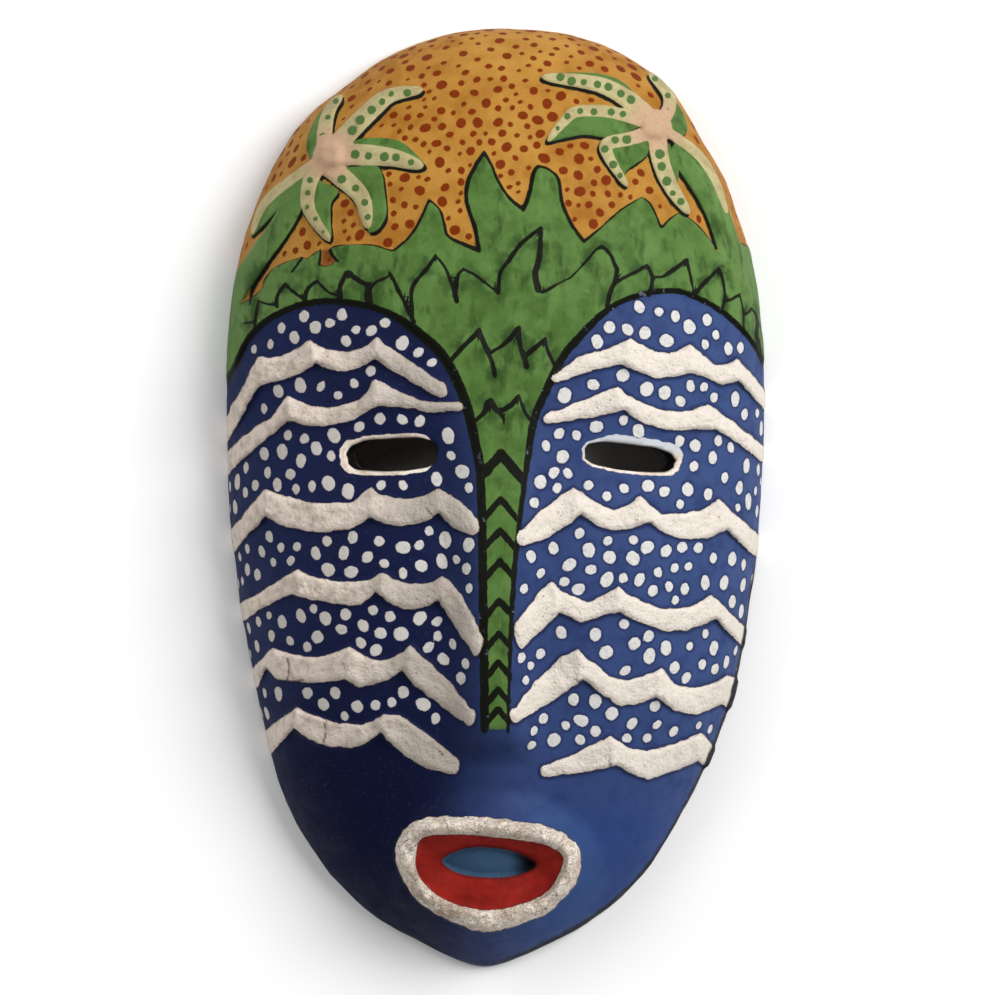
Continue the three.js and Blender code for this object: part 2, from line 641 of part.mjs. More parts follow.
/**
 * The point of the finished face over a plan point. The relief stands square to the dome, so the
 * dome is read at its foot. Near the rim the plan point first moves outwards by the rise there.
 */
function facePoint(x, y) {
  const out = domeNormal(FACE, x, y);
  const push = relief(x, y) * ease(RIM_REACH, 1, gauge(FACE, x, y));
  const [px, py] = [x + out.x * push, y + out.y * push];
  const rise = relief(px, py);
  const normal = domeNormal(FACE, px, py);
  const foot = gauge(FACE, px - normal.x * rise, py - normal.y * rise);
  const height = domeHeight(FACE, foot) + largeForms(px, py) + normal.z * rise;
  return new THREE.Vector3(px, py, height);
}

/** The point of the plain hollow over a plan point. */
function hollowPoint(x, y) {
  return new THREE.Vector3(x, y, domeHeight(HOLLOW, gauge(HOLLOW, x, y)));
}

/** Points of a body's outline at even steps of its length. */
function outline(shape, count) {
  const fine = 2000;
  const dense = Array.from({ length: fine }, (_, i) => {
    const turn = (i / fine) * 2 * Math.PI;
    const flat = new THREE.Vector2(Math.cos(turn) * shape.halfWidth, Math.sin(turn) * shape.crown);
    const reach = gauge(shape, flat.x + lean(flat.y + WIDEST_Y), flat.y + WIDEST_Y);
    const y = flat.y / reach + WIDEST_Y;
    return new THREE.Vector2(flat.x / reach + lean(y), y);
  });
  const lengths = dense.map((p, i) => p.distanceTo(dense[(i + 1) % fine]));
  const total = lengths.reduce((sum, length) => sum + length, 0);
  const chosen = [];
  let walked = 0;
  dense.forEach((point, i) => {
    if (chosen.length < count && walked >= (chosen.length * total) / count) chosen.push(point);
    walked += lengths[i];
  });
  return chosen;
}

/** A depth read on a fine grid of the laid-out face, in the box round some lines of the plan. */
function traceGrid(lines, depth) {
  const corners = lines.flat().map((p) => unroll(FACE, p.x, p.y));
  const box = new THREE.Box2().setFromPoints(corners).expandByScalar(TRACE_MARGIN);
  const columns = Math.ceil((box.max.x - box.min.x) / TRACE_STEP);
  const rows = Math.ceil((box.max.y - box.min.y) / TRACE_STEP);
  const at = (i, j) => new THREE.Vector2(box.min.x + i * TRACE_STEP, box.min.y + j * TRACE_STEP);
  const read = (i, j) => {
    const plan = rollUp(FACE, at(i, j));
    return depth(plan.x, plan.y);
  };
  const values = Array.from({ length: rows }, (_, j) =>
    Array.from({ length: columns }, (_, i) => read(i, j)),
  );
  return { at, values, lines, depth };
}

/** Every place where a traced depth crosses a level on the lines of its grid. */
function crossings({ at, values }, level) {
  const found = [];
  for (let j = 0; j + 1 < values.length; j++) {
    for (let i = 0; i + 1 < values[j].length; i++) {
      const here = values[j][i] - level;
      for (const [right, up] of [[1, 0], [0, 1]]) {
        const next = values[j + up][i + right] - level;
        if (here > 0 === next > 0) continue;
        const flat = at(i, j).lerp(at(i + right, j + up), here / (here - next));
        if (onFace(flat)) found.push(flat);
      }
    }
  }
  return found;
}

/** True where a laid-out point lies on the face, clear of the rim. */
function onFace(flat) {
  const round = gauge(FACE, flat.x + lean(flat.y + WIDEST_Y), flat.y + WIDEST_Y);
  return round < Math.PI / 2 - RIM_GUARD / FACE.halfWidth;
}

/** A walk along a contour from crossing to crossing, with a point at every spacing of it. */
function contour(grid, level, spacing) {
  const corners = grid.lines.flatMap((line) => contourCorners(line, grid.depth, level));
  const fixed = corners.map((plan) => unroll(FACE, plan.x, plan.y));
  const left = crossings(grid, level);
  const found = [];
  while (left.length) {
    let here = left.pop();
    let since = spacing;
    while (here) {
      const atCorner = fixed.some((corner) => corner.distanceTo(here) < CORNER_ROOM * spacing);
      if (atCorner) since = AFTER_CORNER * spacing;
      if (since >= spacing) {
        found.push(here);
        since = 0;
      }
      let next = -1;
      let reach = 2 * TRACE_STEP;
      left.forEach((other, i) => {
        const distance = other.distanceTo(here);
        if (distance < reach) [next, reach] = [i, distance];
      });
      if (next < 0) break;
      since += reach;
      [here] = left.splice(next, 1);
    }
    if (since > LAST_GAP * spacing) found.push(here);
  }
  return [...corners, ...found.map((flat) => rollUp(FACE, flat))];
}

/** The sharp corners of a contour: from each corner of a line, the crossing along its bisector. */
function contourCorners(line, depth, level) {
  const found = [];
  for (let i = 1; i + 1 < line.length; i++) {
    const into = line[i].clone().sub(line[i - 1]).normalize();
    const out = line[i + 1].clone().sub(line[i]).normalize();
    if (Math.abs(Math.atan2(into.cross(out), into.dot(out))) < SHARP) continue;
    const across = out.sub(into).normalize();
    for (const side of [1, -1]) {
      for (let reach = 0; reach < CORNER_REACH; reach += CORNER_STEP) {
        const near = line[i].clone().addScaledVector(across, side * reach);
        const next = line[i].clone().addScaledVector(across, side * (reach + CORNER_STEP));
        if (depth(near.x, near.y) > level === depth(next.x, next.y) > level) continue;
        found.push(next);
        break;
      }
    }
  }
  return found;
}

/** Plan points that carry the edges of every raised form of the face. */
function featurePoints() {
  const found = [];
  const trace = (lines, depth, levels, spacing, wanted = () => true) => {
    const grid = traceGrid(lines, depth);
    for (const level of levels) found.push(...contour(grid, level, spacing).filter(wanted));
  };
  trace([ringOuter.edge], ringOuter.depth, [-EDGE, RING_SLOPE], MOUTH_SPACING);
  trace([ringInner.edge], ringInner.depth, [-RING_INSIDE, 0], MOUTH_SPACING);
  trace([slotEdge.edge], slotEdge.depth, [0, SLOT_SLOPE], MOUTH_SPACING);
  for (const band of bands) trace([band.edge], band.depth, [-EDGE, BAND_SLOPE], BAND_SPACING);
  const plants = [leafTop.edge, ...cheeks.map((cheek) => cheek.edge), ...palms.flatMap((palm) => palm.lines)];
  const clearOfBands = (p) => bandDepth(p.x, p.y) < -EDGE;
  trace(plants, plantDepth, [-EDGE, EDGE], FEATURE_SPACING, clearOfBands);
  const amongLeaves = (p) => leafDepth(p.x, p.y) > EDGE + CONTOUR_GAP;
  for (const row of leafRows) {
    trace([row.edge], row.depth, [-EDGE, EDGE], FEATURE_SPACING, amongLeaves);
  }
  const besideForms = (p) => {
    const depths = [bandDepth(p.x, p.y), plantDepth(p.x, p.y)];
    return depths.every((depth) => Math.abs(depth) > EDGE + CONTOUR_GAP);
  };
  const ridge = toPoints([[-NOSE_FLANK, NOSE_TIP_Y - NOSE_STEP], [NOSE_FLANK, NOSE_ROOT_Y - NOSE_FLANK]]);
  trace([ridge], cheekDepth, [NOSE_FLANK / 2, NOSE_FLANK], BODY_SPACING, besideForms);
  for (let x = -10; x <= 10; x += 5) found.push(new THREE.Vector2(x, NOSE_TIP_Y - NOSE_STEP));
  return found;
}

/** A small repeatable number in place of chance, so that no four points lie on one circle. */
const jitter = (seed) => 0.02 * Math.sin(seed * 12.9898 + 4.1414);

/** Adds plan points to a flat set, skipping any that crowd those already there. */
class PointSet {
  constructor(shape) {
    this.shape = shape;
    this.plan = [];
    this.flat = [];
  }

  add(point, clearance) {
    const flat = unroll(this.shape, point.x, point.y);
    if (this.flat.some((other) => other.distanceTo(flat) < clearance)) return;
    this.plan.push(point);
    this.flat.push(flat);
  }

  /** Fills the rest evenly with a triangular grid in the laid-out dome. */
  fill(spacing, clearance, blocked) {
    const reach = (CHIN_LENGTH * Math.PI) / 2;
    let row = 0;
    for (let y = -reach; y < reach; y += spacing * 0.866) {
      const offset = row++ % 2 ? spacing / 2 : 0;
      for (let x = -reach + offset; x < reach; x += spacing) {
        const flat = new THREE.Vector2(x + jitter(x + 3 * y), y + jitter(y - 2 * x));
        const plan = rollUp(this.shape, flat);
        const g = gauge(this.shape, flat.x + lean(flat.y + WIDEST_Y), flat.y + WIDEST_Y);
        const room = Math.PI / 2 - (0.55 * spacing) / this.shape.halfWidth;
        if (g < room && !blocked(plan)) this.add(plan, clearance);
      }
    }
  }
}

/** Joins flat points into triangles so that no point lies in another triangle's circle. */
function triangulate(points) {
  const far = 4000;
  const all = [...points, ...toPoints([[-far, -far], [far, -far], [0, far]])];
  const circle = (a, b, c) => {
    const [p, q, r] = [all[a], all[b], all[c]];
    const area = 2 * (p.x * (q.y - r.y) + q.x * (r.y - p.y) + r.x * (p.y - q.y));
    const [pp, qq, rr] = [p.lengthSq(), q.lengthSq(), r.lengthSq()];
    const x = (pp * (q.y - r.y) + qq * (r.y - p.y) + rr * (p.y - q.y)) / area;
    const y = (pp * (r.x - q.x) + qq * (p.x - r.x) + rr * (q.x - p.x)) / area;
    return { corners: [a, b, c], x, y, reach: (p.x - x) ** 2 + (p.y - y) ** 2 };
  };
  const count = points.length;
  let triangles = [circle(count, count + 1, count + 2)];
  const order = points.map((_, i) => i).sort((i, j) => points[i].x - points[j].x);
  for (const i of order) {
    const edges = new Map();
    const kept = [];
    for (const t of triangles) {
      if ((all[i].x - t.x) ** 2 + (all[i].y - t.y) ** 2 >= t.reach) {
        kept.push(t);
        continue;
      }
      const [a, b, c] = t.corners;
      for (const [from, to] of [[a, b], [b, c], [c, a]]) {
        const back = `${to},${from}`;
        if (edges.has(back)) edges.delete(back);
        else edges.set(`${from},${to}`, [from, to]);
      }
    }
    for (const [from, to] of edges.values()) kept.push(circle(from, to, i));
    triangles = kept;
  }
  return triangles.map((t) => t.corners).filter((corners) => corners.every((corner) => corner < count));
}

/** One skin of the mask, face or hollow, as points in space and triangles that face +Z. */
function skin(shape, lift, atBack, features, spacing, clearance) {
  const set = new PointSet(shape);
  for (const point of outline(shape, RIM_POINTS)) set.add(point, 0);
  const slots = EYE_SLOTS.map((slot) => eyeOutline(slot, 0, atBack));
  for (const slot of slots) for (const point of slot) set.add(point, 0);
  const guards = EYE_SLOTS.map((slot) => eyeOutline(slot, SLOT_GUARD, atBack));
  const nearRim = (p) => gauge(shape, p.x, p.y) > Math.cos(RIM_GUARD / shape.halfWidth);
  const blocked = (p) => nearRim(p) || guards.some((guard) => inside(guard, p.x, p.y));
  for (const point of features) if (!blocked(point)) set.add(point, POINT_CLEARANCE);
  set.fill(spacing, clearance, blocked);
  const slotStart = RIM_POINTS;
  const slotOf = (corner) => Math.floor((corner - slotStart) / SLOT_POINTS);
  const isSlot = (corner) => corner >= slotStart && slotOf(corner) < EYE_SLOTS.length;
  const isHole = (corners) => corners.every(isSlot) && new Set(corners.map(slotOf)).size === 1;
  const triangles = triangulate(set.flat).filter((corners) => !isHole(corners));
  return { points: set.plan.map((p) => lift(p.x, p.y)), triangles };
}

/** A band of triangles that joins two loops of equally many points. */
function bridge(first, second, count) {
  const triangles = [];
  for (let i = 0; i < count; i++) {
    const next = (i + 1) % count;
    triangles.push([first + i, second + i, first + next], [first + next, second + i, second + next]);
  }
  return triangles;
}

/** The whole mask as one closed surface: face, hollow, flat rim and the walls of the slots. */
function maskGeometry() {
  const face = skin(FACE, facePoint, false, featurePoints(), BODY_SPACING, FREE_CLEARANCE);
  const hollow = skin(HOLLOW, hollowPoint, true, [], BACK_SPACING, BACK_SPACING * 0.6);
  const start = face.points.length;
  for (let i = 0; i < RIM_POINTS; i++) {
    face.points[i].z = 0;
    hollow.points[i].z = 0;
  }
  const triangles = [...face.triangles];
  for (const [a, b, c] of hollow.triangles) triangles.push([start + a, start + c, start + b]);
  triangles.push(...bridge(0, start, RIM_POINTS));
  EYE_SLOTS.forEach((_, i) => {
    const first = RIM_POINTS + i * SLOT_POINTS;
    triangles.push(...bridge(start + first, first, SLOT_POINTS));
  });
  const geometry = new THREE.BufferGeometry().setFromPoints([...face.points, ...hollow.points]);
  geometry.setIndex(triangles.flat());
  geometry.computeVertexNormals();
  return geometry;
}

const paintedWood = new THREE.MeshStandardMaterial({ color: 0x33436f, roughness: 0.72, metalness: 0 });
const mask = new THREE.Mesh(maskGeometry(), paintedWood);
mask.name = "mask";

const object = new THREE.Group();
object.add(mask);

export default object;
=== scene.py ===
"""A painted wooden mask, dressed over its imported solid.

Shapes are worked out in millimetres in the row's frame: x is to the right of someone who looks
at the face, y is towards the crown and z is out of the face. The last step turns them into
metres. A depth is how far inside a form's edge a place lies, and it is below 0 outside.
"""

import math

import bpy
import numpy as np
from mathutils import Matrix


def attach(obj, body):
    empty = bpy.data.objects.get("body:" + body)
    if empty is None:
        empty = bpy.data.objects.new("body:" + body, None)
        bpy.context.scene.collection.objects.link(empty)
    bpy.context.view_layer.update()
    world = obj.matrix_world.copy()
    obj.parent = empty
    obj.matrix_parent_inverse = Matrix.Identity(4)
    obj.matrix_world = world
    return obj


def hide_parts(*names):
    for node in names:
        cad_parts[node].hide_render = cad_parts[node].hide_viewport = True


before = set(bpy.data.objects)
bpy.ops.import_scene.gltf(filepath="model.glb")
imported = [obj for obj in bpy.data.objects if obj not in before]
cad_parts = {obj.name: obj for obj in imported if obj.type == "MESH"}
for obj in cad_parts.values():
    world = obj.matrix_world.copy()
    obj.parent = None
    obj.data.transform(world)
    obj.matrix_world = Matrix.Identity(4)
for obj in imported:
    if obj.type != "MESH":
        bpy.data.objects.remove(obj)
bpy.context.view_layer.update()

MM = 0.001

# Body, as in the part's source
HALF_WIDTH = 114.5
WIDEST_Y = 45.0
CROWN_LENGTH = 154.7
CHIN_LENGTH = 245.3
DOME_HEIGHT = 74.0
WALL = 8.0
OUTLINE_POWER = 2.23
CHIN_POINT = 0.55
CHIN_SPREAD = 25.0
DOME_PLAN_POWER = 2.3
DOME_RISE_POWER = 1.9
MIDDLE_X = -0.4
CHIN_LEAN, CHIN_TURN = 3.6, (-80.0, -140.0)
CROWN_LEAN, CROWN_TURN = 5.2, (150.0, 182.0)

# Nose, brow, eyes, cheeks and the mound of the mouth
NOSE_RISE = 13.0
NOSE_ROOT_Y = 72.0
NOSE_FULL_Y = -58.0
NOSE_TIP_Y = -98.5
NOSE_STEP = 17.0
NOSE_FLANK = 18.0
BROW = dict(x=2, y=88, wide=52, high=42, rise=4)
EYE_HOLLOW = dict(x=49, y=16, wide=32, high=18, rise=-3.5)
CHEEK = dict(x=60, y=-45, wide=36, high=54, rise=4)
MOUTH_X, MOUTH_Y = -3.0, -160.0
MOUND_HALF_WIDTH, MOUND_HALF_HEIGHT, MOUND_RISE, MOUND_TOP = 54.0, 38.0, 7.5, 0.55

# Eye slots
SLOT_HALF_LENGTH = 19.6
SLOT_POWER = 3.0
SLOT_DRIFT = 2.6
SLOT_TAPER = 0.93
SLOT_WAVE = 0.012
EYE_SLOTS = [
    dict(x=-44.2, y=17.9, tilt=3.0, half_height=7.4),
    dict(x=57.0, y=16.8, tilt=-7.0, half_height=5.9),
]

# Mouth
RING_RISE = 4.6
RING_SLOPE = 2.6
RING_INSIDE = 2.2
SLOT_SLOPE = 1.0
LIP_TOP = 1.0
LIP_BOTTOM = -5.0
SLOT_FLOOR = -8.5
RING_OUTER = [
    (-40.5, -143.5), (-33, -137), (-16, -135.5), (6, -137), (24, -140.5), (34.5, -148),
    (36.5, -156), (33, -166), (22, -177), (8, -182.5), (-5, -185), (-17, -181.5), (-32, -173),
    (-40, -162), (-43, -151),
]
RING_INNER = [
    (-33.5, -150), (-30, -144.5), (-15, -143.5), (4, -145), (19, -147.5), (27.5, -151.5),
    (27.5, -159), (20, -169), (6, -174.5), (-7, -175.5), (-20, -172), (-30.5, -164.5), (-34, -157),
]
MOUTH_SLOT = [
    (-23, -154.5), (-13.5, -149.5), (-3, -149), (8, -151), (17.5, -156.5), (8, -161),
    (-4, -161.8), (-16, -160),
]

# Low relief keeps these shares of its rise at the left and right rim, and all of it from a
# gauge of RIM_REACH inwards
RIM_SHARES = (0.08, 0.3)
RIM_REACH = 0.95

# Cheek fields and leaves. Each run of a leaf edge goes on from the last point of the run before
# it, with a corner between them
CHEEK_ARCHES = [
    [
        (-128, 20), (-118, 44), (-112, 54), (-104, 69), (-90, 79), (-72, 83), (-49.5, 79.5),
        (-33.5, 70), (-21, 57.5), (-13, 40), (-9, 23.5), (-6.5, 7), (-5.5, -40), (-4.6, -116),
    ],
    [
        (128, 20), (118, 48), (112, 61), (106.5, 69), (97, 78), (85.5, 84.5), (75, 87.5),
        (60.5, 85.5), (49, 80.5), (38.5, 71), (28.5, 59.5), (21.5, 45.5), (16, 32), (12.5, 9.5),
        (9.5, -14), (6.5, -50), (4.6, -116),
    ],
]
LEAF_RISE = 1.6
LEAF_LAP = 1.3
LEAF_FADE = 15.0
LEAF_TOP = [
    [(-140, 66), (-103.6, 85), (-98.4, 92.5), (-94, 97.6), (-86, 100.8), (-82.3, 101.8)],
    [(-80, 101.3), (-77.5, 103.2), (-74.6, 105)], [(-74.9, 101), (-75, 98.5)],
    [(-71.5, 97.8), (-67.8, 99.8)],
    [(-69.5, 102.3), (-70.6, 105), (-68, 106.4), (-60, 107.1), (-52, 106.7), (-46.5, 105), (-43.5, 104.3)],
    [(-37, 110), (-33, 116), (-28.4, 126)],
    [(-24, 122), (-22, 116), (-20.3, 110.5), (-13.5, 107), (-7.2, 104.3)],
    [(-9, 114), (-12.5, 125), (-12, 133.5), (-9, 140), (-5, 146.4)],
    [(-1.8, 140.5), (0.8, 134.3), (5.2, 127.3), (11.6, 121.6)],
    [(14.2, 129), (15.8, 136.8), (17.7, 140.4)],
    [(22.3, 139), (26.5, 134.5), (28, 125), (31.8, 116), (37.2, 108.2)],
    [(44.2, 114), (53, 121.8), (61.8, 127.2)], [(65, 125), (67.3, 121), (70.2, 114)],
    [(73.4, 117.6), (77.3, 120.5)], [(83.2, 117.6), (90.1, 110.5), (97.3, 99.5)], [(104, 108), (140, 90)],
]
LEAF_ROWS = [
    [
        [(-37.4, 74), (-36, 87.5), (-30.2, 95.5), (-25.9, 102)], [(-21.3, 95.5), (-17.5, 84)],
        [(-16, 94), (-13.9, 95.9), (-8.9, 93.8), (0.8, 86.3)], [(2.6, 94.6), (8.8, 105.3), (19.2, 113.3)],
        [(17.9, 103.5), (16.1, 96.4), (19, 86.6)], [(26.5, 89.3), (35.3, 97.3), (45.1, 105.6)],
        [(51.3, 98.1), (50.4, 89.3), (46.8, 78)],
    ],
    [
        [(-20, 56), (-13, 66), (-7.5, 70.5)], [(-4.5, 63), (-1.5, 55)], [(3, 66), (9, 71.5)],
        [(11, 63), (13, 55.5)], [(16, 63), (21, 66.5)], [(24.5, 55)],
    ],
    [
        [(-9.5, 31.5), (-6, 36), (-3, 41)], [(2, 33)], [(9, 43.5)], [(15.5, 30.5)],
    ],
]

# Raised wave bands. Each has the points of its upper edge, those of its lower edge and the x of
# its crests; a third number of a point says how far the edge sags on the way to the next one
BAND_LOW = 1.8
BAND_CREST = 5.0
CREST_REACH = 15.0
BAND_SLOPE = 1.5
BAND_ROUND = 2.4
BANDS = [
    ([(-118, 27, -1), (-101, 59.5, 2.6), (-79, 67, 5.6), (-50.5, 67.3, 0.4), (-23.5, 49)],
     [(-118, 16, -1), (-100, 47.7, 1.8), (-76.5, 56.3, 4), (-51.5, 58.2, 0.5), (-23, 41.8)],
     [-100, -78, -51]),
    ([(-120, 13, -2.3), (-95.5, 33.8), (-88.5, 43, 4.3), (-57.5, 41.5), (-51.5, 50.3, 0.6), (-28, 40.1),
      (-16, 40.7)],
     [(-120, 2, -2), (-94, 27), (-88.5, 32.6, 5.3), (-50, 38.5, -0.8), (-28, 35.4), (-16, 36)],
     [-88.5, -51]),
    ([(-119, -22), (-98.5, 3.4, 2.6), (-60.5, -2.2, -0.3), (-53, 3.9, 5), (-24.5, 4, -1.6), (-9, -8.5)],
     [(-119, -33, -1), (-98, -8.7, 3.7), (-61.5, -13.5), (-53.5, -8.7, 4.5), (-24.5, -7.5, 1.5),
      (-10, -16.5)],
     [-98, -53, -24.5]),
    ([(-119, -51, 0.5), (-84.5, -30.6, 2.4), (-54, -35.5), (-48, -31.5, 4.4), (-23, -34, -4.5),
      (-7, -57)],
     [(-119, -63, -2.5), (-86, -41.5, 1.3), (-57, -46.2), (-51, -41, 5.5), (-24.5, -44, 0.8), (-9, -67.5)],
     [-85, -49, -23]),
    ([(-116, -86), (-95, -63.8, 4.4), (-62, -63.3, 6.2), (-36.5, -62.8, -1.8), (-10.5, -89.5)],
     [(-112, -101), (-97.7, -73), (-93.5, -78, 1.2), (-64.5, -77.2), (-58.5, -80.6, 1.4), (-40, -74, 0.5),
      (-33, -81, 0.3), (-11.5, -97.5)],
     [-96, -63, -37]),
    ([(-108, -110, -1.5), (-84.7, -89.3, 1.6), (-57, -96.8, 0.2), (-47.5, -92.2), (-41, -92.6, -0.6),
      (-17.5, -110.5)],
     [(-106, -122, -0.5), (-86.3, -98.8, 3.2), (-58, -106.2, 0.3), (-49, -100.3), (-37.5, -111.2, 1),
      (-18, -118)],
     [-85.5, -48]),
    ([(122, 33, -1.5), (102.5, 59.2, 1.2), (93, 56, 0.5), (82.8, 65.6, 1), (71.5, 60.8, 0.8), (57, 67.2, 0.4),
      (36, 59.8, -0.8), (25.5, 52)],
     [(122, 26, -2), (103, 49.2, 0.6), (94, 47.8, -0.3), (82.5, 52.8, 0.3), (70, 50.5, 0.8),
      (53.5, 56.2, -0.6), (26, 48.6)],
     [102.5, 82.7, 56]),
    ([(126, 13), (90, 40, 0.5), (79, 36, 2.5), (51.5, 46.6), (22, 35.2)],
     [(126, 6, -0.5), (93, 29), (78, 28.4, 2.3), (54, 36.3, 0.4), (22, 30.8)],
     [91, 52.5]),
    ([(122, -24, 1), (94.5, -0.2, 0.5), (85, -6.3, 0.2), (70, -7.3), (61, 0.2, 0.6), (50, -5, 1.5),
      (33, 4.3, -1), (11, -14)],
     [(122, -36), (98, -14.3, 0.3), (89, -17.5, 1.2), (72, -16), (65.5, -10.8, 0.8), (50, -14.4, 1.5),
      (36, -7, 2), (11.5, -21)],
     [96, 63, 34.5]),
    ([(120, -68, 0.3), (91.5, -41.6), (83, -46.8, 0.4), (70, -47.5, 1.2), (52, -37.8, 0.2), (39, -44.6, 1.2),
      (23.5, -36.2, -1.8), (9.5, -52)],
     [(120, -80), (93.5, -51.8, 0.3), (82, -56.6, 0.3), (70, -57, 0.5), (52.5, -48.6, -0.3), (36, -53.6),
      (27, -49), (11, -65)],
     [92.5, 52, 25]),
    ([(110, -80), (98, -75.6, 1), (84, -81, 0.3), (76, -79.6), (70, -72.6, 0.8), (55, -78), (48, -75.8, 0.3),
      (35.2, -65.2), (28, -67.6, -1.5), (8, -89.8)],
     [(110, -98), (96, -88.8), (86, -92.8, 0.5), (76, -91), (68, -84.8, 1.2), (53, -88.8, 0.6),
      (37, -77.8, 0.6), (8.5, -96)],
     [97, 69, 36]),
    ([(100, -114), (87, -100.6, 1), (62, -108, 1.4), (49, -101, 1.2), (21, -113.4)],
     [(100, -126), (86, -111.8, 1), (64, -120.3, 0.5), (51, -114.3, 0.7), (21.5, -118.9)],
     [86.5, 50]),
]

# Palms: crown, trunk and fronds. A frond has its rib, the rib's half width, the outer edge of
# its green leaf and the radius of its dots
FROND_RISE = 1.7
FROND_POWER, FROND_TIP = 2.6, 0.4
FROND_DOTS = dict(step=7.5, first=0.26, last=0.86, stray=0.7, size=1.25, taper=0.4, chance=0.2)
LEAF_SUNK = 0.5
CROWN_KNOB = 7.5
CROWN_KNOB_RISE = 2.6
CROWN_EDGE = 0.8
PALM_SHADOW, SHADOW_GROWTH, TRUNK_SHADOW_GROWTH = (0.7, -1.3), 0.2, 0.3
TRUNK_FOOT = 5
PALMS = [
    dict(crown=(-71, 145.7), side=1, half=4.6, trunk=[(-84, 131), (-90.5, 117), (-101.6, 101.5), (-113, 84)],
         fronds=[
             ([(-71, 146), (-73, 152), (-72.5, 158.4), (-70.6, 165.2), (-65.9, 171)], 3.0,
              [(-79, 143), (-80.8, 150), (-78, 159), (-73.5, 166)], 1.3),
             ([(-70, 147), (-63.3, 154.2), (-52.3, 165.2), (-44.6, 170.8), (-31.5, 173)], 3.8, None, 1.7),
             ([(-70, 145.5), (-56.5, 145.3), (-43.8, 144), (-31, 140.2)], 4.2,
              [(-63, 149), (-57, 152.3), (-43, 151.8), (-36, 147.5), (-30, 141)], 1.7),
             ([(-72, 141), (-65.9, 136), (-57, 127), (-54.4, 114)], 3.9,
              [(-62, 140), (-50, 140.2), (-47.2, 128.7), (-46.6, 120), (-50, 113.5), (-54, 112)], 1.7),
             ([(-74, 143), (-79.1, 133.8), (-79.5, 122), (-70.6, 108.7)], 2.9,
              [(-75, 134.5), (-67, 130), (-70.3, 124), (-69.8, 110)], 1.1),
             ([(-74, 144), (-88, 134.2), (-99, 124.4), (-104.1, 112)], 1.7,
              [(-80, 132), (-90, 125), (-98, 116.5), (-103.8, 111)], 0.0),
         ]),
    dict(crown=(68, 157.6), side=-1, half=5.0,
         trunk=[(79, 146), (86.7, 134.6), (92.7, 124.4), (96.9, 113.4), (101.2, 100)],
         fronds=[
             ([(69, 158), (73.5, 165), (73.1, 172), (65.5, 180.4)], 2.6,
              [(77, 152), (81.5, 156), (79.5, 164), (74.5, 171)], 1.3),
             ([(67, 159), (57.8, 167.8), (43.4, 175.4), (19.6, 178.6)], 3.6,
              [(61, 169), (54, 176.5), (44, 180), (30, 180.4)], 1.7),
             ([(67, 158), (50.2, 163.3), (35, 163.8), (29, 159.5), (22.1, 151.2)], 2.2,
              [(60, 157), (50, 152.5), (38, 153.8), (28, 152), (22.5, 150.5)], 1.3),
             ([(66, 155), (56, 152), (46.8, 149.6), (48.5, 143.1), (55.7, 132)], 2.5,
              [(65, 151), (64, 145), (55.5, 138.5), (54.8, 133)], 1.6),
             ([(68.5, 155), (69.7, 144), (74, 132.5), (82, 120.5)], 3.5,
              [(73.5, 150), (77.6, 142), (77, 131)], 1.7),
             ([(70, 157), (84.2, 147.4), (93, 135.5), (98.2, 121)], 1.7,
              [(77, 149), (84, 142), (91, 133), (97.5, 121.5)], 0.0),
         ]),
]

# Paint. A black stroke has its half widths at the start and the end and its points, and a
# chevron the place of its tip. No white dot lies below the low line, and dots stay clear of the
# forms and the rim by these ways
EDGE = 0.9
WHITE_CLEAR = dict(cheek=2.2, band=0.9, slot=2.6)
RED_CLEAR = dict(sky=0.5, palm=0.3)
RIM_CLEAR = 2
MOUTH_HALO = dict(wide=50, high=36, depth=40)
CHEVRON_ROW = 118
CHEVRON_REACH, CHEVRON_GROWTH = 4.5, 6.5
CHEVRON_MIDDLE, CHEVRON_DRIFT = 0.8, 1.2
CHEVRON_SLOPE, CHEVRON_HALF, CHEVRON_TOP_EXTRA = 1.15, 1.3, 0.8
DOTS_LOW = [(-119, -114), (-85, -92), (-66, -99), (-46, -94), (-20, -97), (-7, -97), (7, -101),
            (20, -112), (48, -102), (64, -108), (87, -102), (110, -116)]
CHEVRONS = [18.2, -1.0, -14.1, -27.3, -43.9, -57.9, -70.2, -81.7, -90.0]
LEAF_EDGE = [(-80, 0.15), (-50, 0.2), (-42, 0.5), (-24, 0.55), (-8, 1.0), (-3, 0.6), (8, 0.75), (14, 1.0),
             (20, 0.45), (28, 0.8), (37, 0.8), (44, 0.45), (60, 0.25), (71, 0.5), (78, 0.3), (98, 0.2)]
